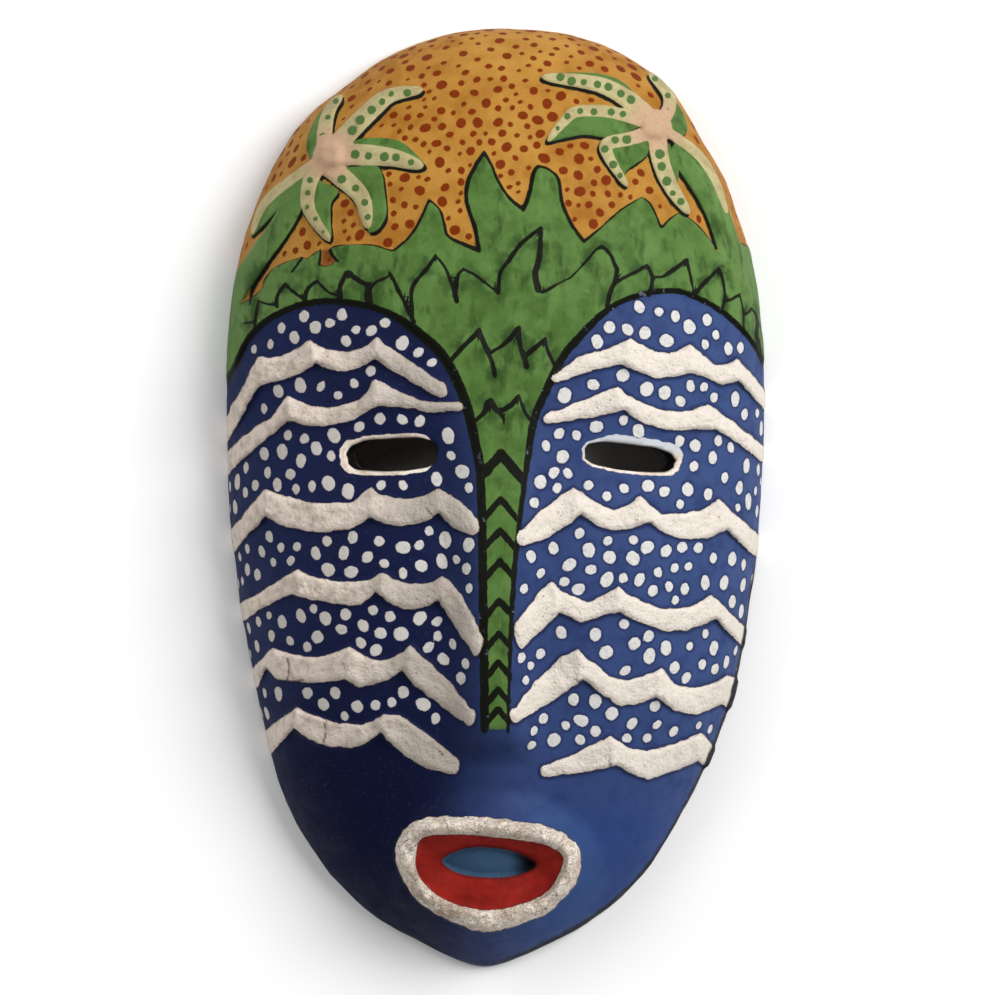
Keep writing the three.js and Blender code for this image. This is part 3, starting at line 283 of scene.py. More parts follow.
STROKES = [
    (0.9, 1.1, [(-41.5, 87.5), (-39, 83), (-36.5, 77.5), (-34.8, 74)]),
    (1.1, 0.8, [(-35.6, 77), (-35.9, 86.7), (-33.8, 91.5), (-29.3, 96.7), (-25.6, 102.2)]),
    (0.6, 1.0, [(-25.6, 102.2), (-21.7, 97.3), (-19, 90.9), (-17.7, 86.7)]),
    (1.1, 1.2, [(-16.9, 89.5), (-17.5, 86.5), (-16.7, 83)]),
    (1.1, 0.6, [(-16.9, 88), (-16, 94.2), (-13.4, 96.4)]),
    (0.6, 0.7, [(-13.9, 96.6), (-8.9, 94), (-4.1, 90.3), (0.8, 86.4)]),
    (0.9, 0.7, [(0.9, 86.4), (1.1, 90.3), (2, 95.6), (5.6, 100.3)]),
    (1.1, 0.9, [(5.6, 100.3), (9.9, 106.5), (14.7, 110.8), (19, 113.8)]),
    (0.9, 1.6, [(19, 113.8), (18.7, 108.5), (18.4, 101.9), (16.6, 94.6), (17.9, 87.8)]),
    (1.0, 0.4, [(18, 87.2), (20.4, 86.9), (25.7, 90), (31.8, 93)]),
    (0.45, 0.7, [(31.8, 93), (37.8, 99.4), (42.3, 104.6), (45, 106.1)]),
    (0.7, 1.2, [(45, 106.1), (48.3, 103), (50.3, 98.6), (51.4, 96.3)]),
    (1.1, 1.0, [(51.4, 96.3), (50.6, 92), (48.5, 87), (47.5, 83), (46.8, 78)]),
    (0.8, 0.8, [(50.4, 90.6), (54, 92.8), (59.5, 95.5), (64, 98.1)]),
    (0.9, 0.9, [(64, 98.1), (66.2, 93.5), (65.9, 89.5), (64.8, 85.5)]),
    (0.7, 0.7, [(66.3, 93.2), (70.6, 93.3)]), (0.8, 1.1, [(70.6, 93.3), (74.5, 95.8), (80.8, 100.4)]),
    (1.0, 0.6, [(80.8, 100.4), (82.3, 95), (83.9, 87)]),
    (1.0, 0.7, [(84.8, 86.6), (88.2, 90.5), (91.5, 93.8), (94.6, 96.9)]),
    (0.8, 0.6, [(94.6, 96.9), (96.2, 93), (97.1, 88), (97.2, 83.8), (96.5, 81), (95.2, 78)]),
    (0.9, 0.6, [(97, 83.4), (99.8, 83.8), (103.6, 86.3)]),
    (0.5, 0.4, [(103.6, 86.3), (104.6, 82), (105.2, 77), (105.3, 69.5)]),
    (0.7, 0.6, [(105.3, 77.3), (107, 78.2), (108.7, 80.3)]),
    (0.6, 1.0, [(108.7, 80.3), (110.6, 77.5), (111.4, 73), (110.9, 69.5), (112.3, 62)]),
    (0.4, 0.5, [(-107.2, 74), (-102.7, 74.2)]),
    (0.7, 0.6, [(-102.8, 70.5), (-102, 77), (-101.5, 81), (-100.7, 83.4)]),
    (0.5, 0.7, [(-100.7, 83.4), (-97.5, 82), (-93.6, 81.5)]),
    (1.1, 0.7, [(-93, 81), (-93.2, 84.5), (-91.8, 87.5), (-89.4, 90.4)]),
    (0.7, 0.8, [(-89.3, 90.6), (-86.8, 87.6), (-82, 84.2)]),
    (1.3, 0.7, [(-81.2, 83.4), (-80.7, 86.5), (-78.9, 89.5), (-76, 91.7)]),
    (0.6, 0.7, [(-76, 91.7), (-73.5, 89), (-70.5, 86.5), (-66.8, 85.8)]),
    (1.3, 1.0, [(-66.4, 84.3), (-66.3, 88.5), (-65, 92), (-63.4, 94.6)]),
    (1.7, 1.6, [(-63, 94.6), (-61.8, 94.4)]), (1.2, 1.0, [(-61.8, 94.2), (-58.5, 92), (-54.6, 89.8)]),
    (1.5, 1.7, [(-53.9, 89.6), (-54.2, 86), (-53.8, 81.5)]),
    (0.7, 0.5, [(-53, 89), (-50.5, 91.2), (-46, 93.2)]),
    (0.6, 1.0, [(-45.2, 95), (-43.2, 91.5), (-41.5, 87.5)]),
    (0.5, 0.7, [(-87, 95.3), (-84.8, 98), (-82.4, 101.4)]),
    (0.6, 0.5, [(-75.2, 98.7), (-74.7, 101), (-74.5, 105)]),
    (0.9, 0.6, [(-70.4, 104.6), (-69.2, 102.2), (-67.2, 100)]),
    (1.1, 1.3, [(-85, 116.5), (-88.5, 111), (-92.5, 105.2), (-98, 98.8), (-101.5, 93.5)]),
    (1.3, 0.4, [(-101.5, 93.5), (-103.6, 88), (-104.8, 82)]),
    (0.8, 1.0, [(90.8, 117), (93, 113.5), (95.5, 108), (96.8, 103), (98, 99.2)]),
    (1.1, 1.2, [(-20, 57), (-14, 63.5), (-7.6, 69.8)]),
    (1.3, 0.9, [(-7.2, 70.3), (-4.2, 63), (-1.5, 56.5), (-0.6, 51.3)]),
    (0.7, 1.2, [(-1.7, 61.6), (4, 65), (9.4, 71.2)]),
    (0.9, 1.2, [(9.6, 71.6), (10, 65), (11.6, 59.5), (13, 55.2)]),
    (1.1, 1.0, [(12.6, 60), (17, 63.5), (20.8, 66.7)]),
    (0.9, 0.8, [(20.8, 66.5), (22, 61.5), (24.7, 56)]),
    (0.9, 1.5, [(-9.8, 31.5), (-5.2, 35.5), (-3.4, 40)]),
    (1.4, 1.0, [(-2.2, 40.6), (0, 36.8), (1.2, 36)]), (1.1, 0.4, [(0, 36.8), (2.8, 34), (3.4, 30.8)]),
    (1.2, 1.2, [(1.2, 36.3), (6, 38.5), (9.4, 42.4)]), (0.8, 0.7, [(9.7, 42.8), (12, 36.4), (15.6, 31)]),
]

CRACKS = [
    [(-88.6, -69), (-87.9, -73), (-88.9, -79)], [(-96, -77.3), (-88, -78.6), (-81, -77.8)],
    [(-73, -96.5), (-72.2, -100), (-73.2, -104)], [(-24.2, -107.6), (-22.8, -109.4)],
    [(-15.6, -114.8), (-14.2, -115.8)], [(33.4, -77.4), (35.2, -78.6), (36.9, -77.6)],
    [(48, -112), (49, -115.6)], [(-29.5, -5.2), (-27, -8), (-24.4, -9.6)],
]

# Roughness, as layers of height, size and seed
BAND_CRUMBS = [(0.45, 5.6, 31), (0.3, 2.3, 32)]
BAND_LUMPS = [(0.35, 6.5, 33), (0.3, 2.6, 34)]
RING_LUMPS = [(1.3, 5.2, 11), (1.0, 2.6, 12)]
RING_CRUMBS, LIP_CRUMBS = [(0.42, 3.6, 13)], [(0.25, 3.2, 14)]
KNOB_LUMPS, KNOB_CRUMBS = [(0.6, 3.1, 21)], [(0.8, 4, 22)]
GOUGES = [(0.5, 9, 51)]
FACE_UNEVEN = [(0.38, 15, 41), (0.14, 4.5, 42)]

# Grids of columns and rows, and the way between their points. An edge of the mouth has the number
# of its outline, a depth in that and the reach within which points move onto it. The rim's
# steps are (way inwards, height)
FAR = 7.0
DOME_SECTION = 155
FACE_GRID, FACE_SPACING = (236, 340), 1.15
BACK_GRID, BACK_SPACING = (60, 96), 3.8
SIDE_SHARE = 0.5
HALF_BOX = (115.0, 200.0)
MOUTH_EDGES = [(0, -EDGE, 0.3), (0, RING_SLOPE, 0.4), (1, 0, 0.55), (2, 0, 0.5), (2, SLOT_SLOPE, 0.5)]
RIM_TOP = 0.9
RIM_STEPS = [(0.25, 0.25), (0.9, 0.0)]
SLOT_WALL_SHARES = (0.07, 0.2, 0.45, 0.7, 0.93)


def ease(start, end, value):
    """0 up to start, 1 past end, and 3t² − 2t³ between them."""
    t = np.clip((value - start) / (end - start), 0, 1)
    return t * t * (3 - 2 * t)


def lerp(first, second, share):
    """The value that lies a share of the way from the first to the second."""
    return first + (second - first) * share


def lattice(x, y, size, seed):
    """Smooth chance heights of about −1 to 1: random numbers at the corners of squares of a
    size, each square's four corners blended by the S curve of ease."""
    count = 97
    table = np.random.default_rng(seed).uniform(-1, 1, (count, count))
    column, row = np.floor(x / size).astype(int), np.floor(y / size).astype(int)
    across, up = ease(0, 1, x / size - column), ease(0, 1, y / size - row)
    corner = lambda i, j: table[(column + i) % count, (row + j) % count]
    low = lerp(corner(0, 0), corner(1, 0), across)
    high = lerp(corner(0, 1), corner(1, 1), across)
    return lerp(low, high, up)


def rough(layers, x, y):
    """The sum of chance heights in layers, each of a height, a size and a seed."""
    return sum(height * lattice(x, y, size, seed) for height, size, seed in layers)


def far_out(x):
    """The depth of places far outside a form."""
    return np.full(np.shape(x), -9.0)


# Plain dome

def body(inset):
    """Half width, crown length, chin length and height of the dome, all smaller by inset."""
    return (HALF_WIDTH - inset, CROWN_LENGTH - inset, CHIN_LENGTH - inset, DOME_HEIGHT - inset)


FACE = body(0)
HOLLOW = body(WALL)


def lean(y):
    """How far the middle line leans from x = 0: to the right at the crown, left at the chin."""
    return MIDDLE_X + CROWN_LEAN * ease(*CROWN_TURN, y) - CHIN_LEAN * ease(*CHIN_TURN, y)


def gauge(shape, x, y):
    """0 in the middle and 1 on the outline: the root of a power sum whose power falls near the
    chin by a bell curve of the angle from it, which draws the chin to a blunt point."""
    half_width, crown, chin, _ = shape
    across = np.abs(x - lean(y)) / half_width
    up = (y - WIDEST_Y) / np.where(y > WIDEST_Y, crown, chin)
    from_chin = np.degrees(np.arctan2(across, -up))
    power = OUTLINE_POWER - CHIN_POINT * np.exp(-((from_chin / CHIN_SPREAD) ** 2))
    return (across**power + np.abs(up) ** power + 1e-12) ** (1 / power)


def dome_height(shape, g):
    """Height times (1 − g^2.3)^(1/1.9): a flat-topped dome that stands upright at its rim."""
    return shape[3] * (1 - np.minimum(g, 1) ** DOME_PLAN_POWER) ** (1 / DOME_RISE_POWER)


def dome_normal(shape, x, y):
    """Unit slope of (z / height)^1.9 + g^2.3, which is constant all over the dome."""
    g = np.minimum(gauge(shape, x, y), 1)
    step = 0.05
    slope = DOME_PLAN_POWER * np.maximum(g, 1e-6) ** (DOME_PLAN_POWER - 1)
    along_x = (gauge(shape, x + step, y) - gauge(shape, x - step, y)) / (2 * step)
    along_y = (gauge(shape, x, y + step) - gauge(shape, x, y - step)) / (2 * step)
    share = dome_height(shape, g) / shape[3]
    up = DOME_RISE_POWER * share ** (DOME_RISE_POWER - 1) / shape[3]
    normal = np.stack([slope * along_x, slope * along_y, up], -1)
    return normal / np.linalg.norm(normal, axis=-1, keepdims=True)


# Lines, strokes and fields of the plan

def smooth_line(points, steps, closed=False):
    """Catmull-Rom curve: each span between two points is the cubic whose slope at a point is
    half the way from the point before it to the point after it."""
    p = np.array(points, float)
    if closed:
        p = np.vstack([p[-1], p, p[:2]])
    else:
        p = np.vstack([p[0], p, p[-1]])
    a, b, c, d = p[:-3, None], p[1:-2, None], p[2:-1, None], p[3:, None]
    t = (np.arange(steps) / steps)[None, :, None]
    curve = 0.5 * (2 * b + (c - a) * t + (2 * a - 5 * b + 4 * c - d) * t**2
                   + (3 * b - a - 3 * c + d) * t**3)
    curve = curve.reshape(-1, 2)
    return curve if closed else np.vstack([curve, p[-1]])


def cusped(runs):
    """Smooth curves joined end to end, with a corner at each join."""
    curves, last = [], []
    for run in runs:
        curves.append(smooth_line(last + run, 6))
        last = run[-1:]
    return np.vstack([curve[:-1] for curve in curves] + [curves[-1][-1:]])


def sagging(points):
    """Straight spans from point to point, each less sag · 4t(1 − t). The third number of a
    point is the sag of the span after it."""
    p = np.array([q if len(q) == 3 else (*q, 0) for q in points], float)
    t = np.linspace(0, 1, 9)[None, :-1]
    x = lerp(p[:-1, :1], p[1:, :1], t)
    y = lerp(p[:-1, 1:2], p[1:, 1:2], t) - p[:-1, 2:] * 4 * t * (1 - t)
    return np.vstack([np.stack([x.ravel(), y.ravel()], 1), p[-1, :2]])


def nearest(line, x, y):
    """Distance to a line of points, and the share of its points up to the nearest place."""
    best = np.full(np.shape(x), np.inf)
    along = np.zeros(np.shape(x))
    for i, (a, b) in enumerate(zip(line[:-1], line[1:])):
        dx, dy = b - a
        t = np.clip(((x - a[0]) * dx + (y - a[1]) * dy) / (dx * dx + dy * dy + 1e-12), 0, 1)
        distance = np.hypot(x - a[0] - t * dx, y - a[1] - t * dy)
        closer = distance < best
        best = np.where(closer, distance, best)
        along = np.where(closer, i + t, along)
    return best, along / (len(line) - 1)


def inside(loop, x, y):
    """True inside a closed loop: a ray to the left crosses it an odd number of times."""
    odd = np.zeros(np.shape(x), bool)
    for a, b in zip(loop, np.roll(loop, 1, 0)):
        crosses = (a[1] > y) != (b[1] > y)
        rise = b[1] - a[1]
        place = (b[0] - a[0]) * (y - a[1]) / (rise if rise else 1e-12) + a[0]
        odd ^= crosses & (x < place)
    return odd


def field_depth(edge, x, y, closing=None):
    """Depth inside a loop. Only the edge counts for distance, and closing shuts the loop."""
    loop = edge if closing is None else np.vstack([edge, closing])
    line = np.vstack([edge, edge[:1]]) if closing is None else edge
    distance = nearest(line, x, y)[0]
    return np.where(inside(loop, x, y), distance, -distance)


def close_by(line, x, y, reach):
    """True in the upright box that holds a line of points and a reach round it."""
    (left, low), (right, high) = line.min(0) - reach, line.max(0) + reach
    return (x > left) & (x < right) & (y > low) & (y < high)


def local_depth(line, x, y, half=None):
    """Depth in a loop, or in a stroke when a half width is given, as a number or a function of
    the share of the stroke. It is −9 far away."""
    depth, here = far_out(x), close_by(line, x, y, FAR)
    if half is None:
        depth[here] = field_depth(line, x[here], y[here])
    else:
        distance, share = nearest(line, x[here], y[here])
        depth[here] = (half(share) if callable(half) else half) - distance
    return depth


def cheek_depth(x, y):
    """Depth in the deeper of the two blue cheek fields."""
    depths = []
    for arch, outer in zip(CHEEK_ARCHES, (-200, 200)):
        closing = np.array([(outer, -116), (outer, 20)], float)
        depths.append(field_depth(smooth_line(arch, 6), x, y, closing))
    return np.maximum(*depths)


def band_outline(band):
    """Upper edge, a half round end by the nose, and the lower edge back to the rim."""
    upper, lower = sagging(band[0]), sagging(band[1])
    middle, half = (upper[-1] + lower[-1]) / 2, (upper[-1] - lower[-1]) / 2
    outward = np.array([half[1], -half[0]]) * -math.copysign(BAND_ROUND / np.hypot(*half), middle[0])
    turn = np.linspace(0, np.pi, 9)[1:-1, None]
    end = middle + half * np.cos(turn) + outward * np.sin(turn)
    return np.vstack([upper, end, lower[::-1]])


def bands_form(x, y):
    """Depth in the nearest band and its rise, which swells to a fold at each crest by the
    square of nearness. Crumbs of paste make its edge uneven."""
    crumb, lump = rough(BAND_CRUMBS, x, y), rough(BAND_LUMPS, x, y)
    depth, rise = far_out(x), np.zeros(np.shape(x))
    for band in BANDS:
        own = local_depth(band_outline(band), x, y) + crumb
        near = np.max([np.maximum(1 - np.abs(x - crest) / CREST_REACH, 0) for crest in band[2]], 0)
        top = lerp(BAND_LOW, BAND_CREST, near**2)
        rise = np.maximum(rise, (top + lump) * ease(-EDGE, BAND_SLOPE, own))
        depth = np.maximum(depth, own)
    return depth, rise


def frond_dots(rib, radius):
    """An uneven row of dots along a rib, smaller towards its tip: (x, y, radius)."""
    steps = np.hypot(*np.diff(rib, axis=0).T)
    length, d = steps.sum(), FROND_DOTS
    way = np.concatenate([[0], np.cumsum(steps)]) / length
    shares = np.linspace(d["first"], d["last"], max(int(length / d["step"]), 3))
    places = np.stack([np.interp(shares, way, rib[:, k]) for k in (0, 1)], 1)
    chance = np.random.default_rng(int(length * 10)).uniform(-1, 1, (3, len(shares)))
    size = d["size"] - d["taper"] * shares + d["chance"] * chance[2]
    return np.column_stack([places + d["stray"] * chance[:2].T, radius * size])


def palms_form(x, y):
    """Depths of the ribs with the crown, leaves, dots, trunks and black undersides of the
    palms, and their rise. An underside is the palm moved a little down and outward."""
    names = ("frond", "frond_leaf", "frond_dot", "trunk", "shadow", "crown")
    fields, rise = {name: far_out(x) for name in names}, np.zeros(np.shape(x))

    def add(name, depth):
        """Joins a depth to a field."""
        fields[name] = np.maximum(fields[name], depth)

    for palm in PALMS:
        away = np.hypot(x - palm["crown"][0], y - palm["crown"][1])
        moved_x, moved_y = x - PALM_SHADOW[0] * palm["side"], y - PALM_SHADOW[1]
        trunk = smooth_line(palm["trunk"], 6)
        add("trunk", local_depth(trunk, x, y, palm["half"]))
        trunk_shadow = local_depth(trunk, moved_x, moved_y, palm["half"] + TRUNK_SHADOW_GROWTH)
        add("shadow", np.minimum(trunk_shadow, y - trunk[-1, 1] - TRUNK_FOOT))
        for rib_points, half, leaf_points, dot in palm["fronds"]:
            rib = smooth_line(rib_points, 5)
            taper = lambda share: half * np.sqrt(np.maximum(1 - share**FROND_POWER, 0)) + FROND_TIP
            add("frond", local_depth(rib, x, y, taper))
            add("shadow", local_depth(rib, moved_x, moved_y, taper) + SHADOW_GROWTH)
            if leaf_points:
                leaf = np.vstack([rib, smooth_line(leaf_points, 4)[::-1]])
                add("frond_leaf", local_depth(leaf, x, y))
                add("shadow", local_depth(leaf, moved_x, moved_y) + SHADOW_GROWTH)
            if dot:
                for dot_x, dot_y, radius in frond_dots(rib, dot):
                    add("frond_dot", radius - np.hypot(x - dot_x, y - dot_y))
        add("crown", CROWN_KNOB - away)
        knob = CROWN_KNOB_RISE * (1 - ease(CROWN_KNOB * 0.4, CROWN_KNOB, away))
        lump = rough(KNOB_LUMPS, x, y) * (1 - ease(CROWN_KNOB * 0.6, CROWN_KNOB * 1.5, away))
        add("frond", CROWN_KNOB - CROWN_EDGE - away + rough(KNOB_CRUMBS, x, y))
        fields["frond_dot"] = np.where(away < CROWN_KNOB + 1, -9, fields["frond_dot"])
        rise = rise + np.where(away < 60, knob + lump, 0)
    palm = np.maximum.reduce([fields["frond"], fields["frond_leaf"], fields["trunk"]])
    sunk = LEAF_SUNK * ease(0, 1.2, fields["frond_leaf"]) * (1 - ease(-1, 0.5, fields["frond"]))
    return fields, (FROND_RISE + rise) * ease(-EDGE, EDGE, palm) - sunk


def tilt_of(slot):
    """Cosine and sine of a slot's tilt."""
    tilt = math.radians(slot["tilt"])
    return math.cos(tilt), math.sin(tilt)


def slot_outline(slot, at_back, count=96):
    """A rounded oblong of power 3, a little wavy and turned by its tilt; it is smaller and
    nearer the nose at the back."""
    x, y = slot["x"], slot["y"]
    scale = SLOT_TAPER if at_back else 1
    turn = np.arange(count) / count * 2 * np.pi
    c, s = np.cos(turn), np.sin(turn)
    reach = (np.abs(c) ** SLOT_POWER + np.abs(s) ** SLOT_POWER) ** (-1 / SLOT_POWER) * scale
    reach = reach * (1 + SLOT_WAVE * np.sin(7 * turn + x) + SLOT_WAVE * np.sin(13 * turn - x))
    along, up = c * reach * SLOT_HALF_LENGTH, s * reach * slot["half_height"]
    cos, sin = tilt_of(slot)
    shift = -math.copysign(SLOT_DRIFT, x) if at_back else 0
    return np.stack([x + shift + along * cos - up * sin, y + along * sin + up * cos], 1)


def slot_turn(slot, middle, x, y):
    """The angle of places round a slot's middle, from 0 to 2π, starting along the slot."""
    cos, sin = tilt_of(slot)
    dx, dy = x - middle[0], y - middle[1]
    return np.arctan2(dy * cos - dx * sin, dx * cos + dy * sin) % (2 * np.pi)


def slots_depth(x, y, at_back=False):
    """Depth in the nearer of the two eye slots."""
    return np.maximum(*[local_depth(slot_outline(slot, at_back), x, y) for slot in EYE_SLOTS])


def mouth_depths(x, y):
    """Depths in the outer and inner outlines of the ring round the mouth, both a little ragged,
    and in its slot."""
    lines = (smooth_line(points, 4, True) for points in (RING_OUTER, RING_INNER, MOUTH_SLOT))
    outer, inner, slot = (local_depth(line, x, y) for line in lines)
    return outer + rough(RING_CRUMBS, x, y), inner + rough(LIP_CRUMBS, x, y), slot


# Forms of the face

def swelling(form, x, y):
    """A round swelling: rise · exp(−(x/wide)² − (y/high)²)."""
    across, up = (x - form["x"]) / form["wide"], (y - form["y"]) / form["high"]
    return form["rise"] * np.exp(-(across**2) - up**2)


def large_forms(x, y, cheek):
    """Nose ridge, mound of the mouth, brow, eye hollows and cheeks, over the plain dome."""
    down = ease(NOSE_ROOT_Y, NOSE_FULL_Y, y) * ease(NOSE_TIP_Y - NOSE_STEP, NOSE_TIP_Y, y)
    nose = NOSE_RISE * down * (1 - ease(0, NOSE_FLANK, cheek))
    mouthward = np.hypot((x - MOUTH_X) / MOUND_HALF_WIDTH, (y - MOUTH_Y) / MOUND_HALF_HEIGHT)
    mound = MOUND_RISE * (1 - ease(MOUND_TOP, 1, mouthward))
    sides = swelling(EYE_HOLLOW, np.abs(x), y) + swelling(CHEEK, np.abs(x), y)
    return nose + mound + sides + swelling(BROW, x, y)


def mouth_relief(x, y, outer, inner, slot):
    """A lumpy ring with sloping sides, lips that fall evenly to the slot, and its flat floor."""
    inner_slope = lerp(LIP_TOP / RING_RISE, 1, ease(0, RING_INSIDE, -inner))
    ring = (RING_RISE + rough(RING_LUMPS, x, y)) * ease(-EDGE, RING_SLOPE, outer) * inner_slope
    share = np.clip(-slot / np.maximum(inner - slot, 1e-6), 0, 1)
    lips = lerp(LIP_BOTTOM, LIP_TOP, share)
    floor = lerp(LIP_BOTTOM, SLOT_FLOOR, ease(0, SLOT_SLOPE, slot))
    relief = np.where(inner < 0, ring, np.where(slot < 0, lips, floor))
    return np.where(outer < -EDGE, 0, relief)


def ink_strokes(x, y):
    """Depth in the black strokes of the leaves, and the way to the nearest of their middle lines,
    which stays exact between the points of the mesh: (depth, way in x, way in y, half width)."""
    best = np.stack([np.full(np.shape(x), v) for v in (-9.0, 9.0, 0.0, 0.0)])
    for first, last, points in STROKES:
        line = smooth_line(points, 4)
        here = close_by(line, x, y, 4)
        for i, (a, b) in enumerate(zip(line[:-1], line[1:])):
            dx, dy = b - a
            t = np.clip(((x[here] - a[0]) * dx + (y[here] - a[1]) * dy) / (dx * dx + dy * dy), 0, 1)
            way_x, way_y = a[0] + t * dx - x[here], a[1] + t * dy - y[here]
            half = lerp(first, last, (i + t) / (len(line) - 1))
            new = np.stack([half - np.hypot(way_x, way_y), way_x, way_y, half])
            best[:, here] = np.where(new[0] > best[0, here], new, best[:, here])
    return best


def chevron_depth(x, y, leaf):
    """Depth in the black marks down the nose, which grow upwards. The top one is thicker."""
    ink = far_out(x)
    for apex in CHEVRONS:
        share = (apex - NOSE_TIP_Y) / CHEVRON_ROW
        reach = CHEVRON_REACH + CHEVRON_GROWTH * share
        middle = CHEVRON_MIDDLE + CHEVRON_DRIFT * share
        low = apex - reach * CHEVRON_SLOPE
        mark = np.array([(middle - reach, low), (middle, apex), (middle + reach, low)])
        depth = local_depth(mark, x, y, CHEVRON_HALF) + (CHEVRON_TOP_EXTRA if apex == CHEVRONS[0] else 0)
        ink = np.maximum(ink, np.minimum(depth, leaf + 1))
    return ink


def face_fields(x, y):
    """Depths of every form of the face at plan points, and the rise of its low relief."""
    fields = {"cheek": cheek_depth(x, y)}
    beyond = np.array([(160, -400), (-160, -400)], float)
    leaf_top = field_depth(cusped(LEAF_TOP), x, y, beyond)
    leaf = np.minimum(np.minimum(leaf_top, -fields["cheek"]), y - NOSE_TIP_Y)
    laps = np.zeros(np.shape(x))
    for row in LEAF_ROWS:
        edge = cusped(row)
        closing = np.array([(edge[-1, 0], -300), (edge[0, 0], -300)])
        depth = field_depth(edge, x, y, closing)
        laps = np.maximum(laps, LEAF_LAP * ease(-EDGE, EDGE, depth) * (1 - ease(0, LEAF_FADE, depth)))
    rise = LEAF_RISE * ease(-EDGE, EDGE, leaf) + np.where(leaf > 0, laps, 0)

    palms, palm_rise = palms_form(x, y)
    band, band_rise = bands_form(x, y)
    outer, inner, slot = mouth_depths(x, y)
    rise = np.maximum.reduce([rise, palm_rise, band_rise]) + mouth_relief(x, y, outer, inner, slot)

    # Half width of the black line along the arch of a cheek
    down = ease(40, 0, y)
    arch = np.where(
        x < 0, 1.4 + 0.8 * ease(-48, -30, x) - 0.3 * down,
        1.2 + 0.6 * ease(52, 34, x) - 0.65 * down - 0.4 * ease(-40, -80, y))
    fields.update(
        palms, sky=-leaf_top, leaf=leaf, chevron=chevron_depth(x, y, leaf), band=band,
        arch=np.minimum(arch, y - NOSE_TIP_Y + 2.2), ring=outer, lip=inner, mouth=slot)
    share = lerp(np.where(x < 0, *RIM_SHARES), 1, ease(1, RIM_REACH, gauge(FACE, x, y)))
    return fields, rise * share + rough(FACE_UNEVEN, x, y)


def face_points(x, y):
    """Points of the finished face over plan points. The low relief stands square to the dome,
    so the dome is read a little inward, where a point of that rise has its foot. Near the rim
    the plan points first move outwards by their own rise."""
    _, rise = face_fields(x, y)
    normal = dome_normal(FACE, x, y)
    out = rise * ease(RIM_REACH, 1, gauge(FACE, x, y))
    x, y = x + out * normal[:, 0], y + out * normal[:, 1]
    fields, rise = face_fields(x, y)
    normal = dome_normal(FACE, x, y)
    foot = gauge(FACE, x - rise * normal[:, 0], y - rise * normal[:, 1])
    height = dome_height(FACE, foot) + large_forms(x, y, fields["cheek"]) + rise * normal[:, 2]
    return np.stack([x, y, np.maximum(height, 0)], 1), fields


# Dots, scattered by seeded chance

def scatter(points, room, sizes, gap, seed, tries):
    """Dots laid one after another on chance points of the surface, each where it keeps a gap to
    all that are there and has room: (x, y, z, radius, stretch, turn)."""
    chance = np.random.default_rng(seed)
    picks = chance.integers(0, len(points), tries)
    radius = chance.uniform(*sizes, tries)
    stretch = chance.uniform(1.0, 1.17, tries)
    turn = chance.uniform(0, np.pi, tries)
    chosen = np.zeros((0, 6))
    for i in np.flatnonzero(room[picks] > radius):
        place = points[picks[i]]
        away = np.linalg.norm(chosen[:, :3] - place, axis=1)
        if np.all(away > chosen[:, 3] + radius[i] + gap[picks[i]]):
            chosen = np.vstack([chosen, (*place, radius[i], stretch[i], turn[i])])
    return chosen


def dots_depth(dots, points):
    """Depth in the nearest dot, each an oval: radius less the length of the turned and
    squeezed way from its middle."""
    depth = far_out(points[:, 0])
    for *place, radius, stretch, turn in dots:
        way = points - place
        near = np.abs(way).max(1) < radius * 1.3 + 3
        dx, dy, dz = way[near].T
        along = (dx * math.cos(turn) + dy * math.sin(turn)) / stretch
        across = (dy * math.cos(turn) - dx * math.sin(turn)) * stretch
        depth[near] = np.maximum(depth[near], radius - np.sqrt(along**2 + across**2 + dz**2))
    return depth


def white_room(points, fields, slots):
    """Room for a white dot: on the cheeks above the lowest band, clear of bands, slots, black
    lines, mouth and rim."""
    x, y, z = points.T
    lowest = np.interp(x, *np.array(DOTS_LOW).T)
    clear = WHITE_CLEAR
    return np.minimum.reduce([
        fields["cheek"] - clear["cheek"], -fields["band"] - clear["band"], -slots - clear["slot"],
        -fields["ring"], y - lowest, z - RIM_CLEAR])


def red_room(points, fields):
    """Room for a red dot: on the sky, clear of the palms, the leaves and the rim."""
    palm = np.maximum.reduce([fields[name] for name in ("frond", "frond_leaf", "trunk", "shadow")])
    return np.minimum.reduce([
        fields["sky"] - RED_CLEAR["sky"], -palm - RED_CLEAR["palm"], points[:, 2] - RIM_CLEAR])


# Grids and rings of the closed surface

def plan_grid(shape, columns, rows):
    """Plan points of a square grid pressed into a disc, by u·√(1 − v²/2) and v·√(1 − u²/2). The
    disc's radius is the share of the way up a section of the dome, with its rise counted half,
    so that the steep sides get rows of their own."""
    u, v = np.meshgrid(np.linspace(-1, 1, columns + 1), np.linspace(-1, 1, rows + 1))
    across, up = u * np.sqrt(1 - v * v / 2), v * np.sqrt(1 - u * u / 2)
    share = np.linspace(0, 1, 4001)
    rise = dome_height(shape, share) * SIDE_SHARE
    way = np.concatenate([[0], np.cumsum(np.hypot(np.diff(share) * DOME_SECTION, np.diff(rise)))])
    radius = np.minimum(np.hypot(across, up), 1)
    reach = np.interp(radius, way / way[-1], share)
    turns = np.linspace(-np.pi, np.pi, 1441)
    way_x, way_y = np.cos(turns) * HALF_BOX[0], np.sin(turns) * HALF_BOX[1]

    # The outline lies where the gauge is 1, found for each turn by halving
    low, high = np.zeros_like(turns), np.full_like(turns, 1.5)
    for _ in range(40):
        middle = (low + high) / 2
        within = gauge(shape, way_x * middle, way_y * middle) < 1
        low, high = np.where(within, middle, low), np.where(within, high, middle)
    turn = np.arctan2(up, across)
    out = np.interp(turn, turns, low) * reach
    return (np.cos(turn) * HALF_BOX[0] * out).ravel(), (np.sin(turn) * HALF_BOX[1] * out).ravel()


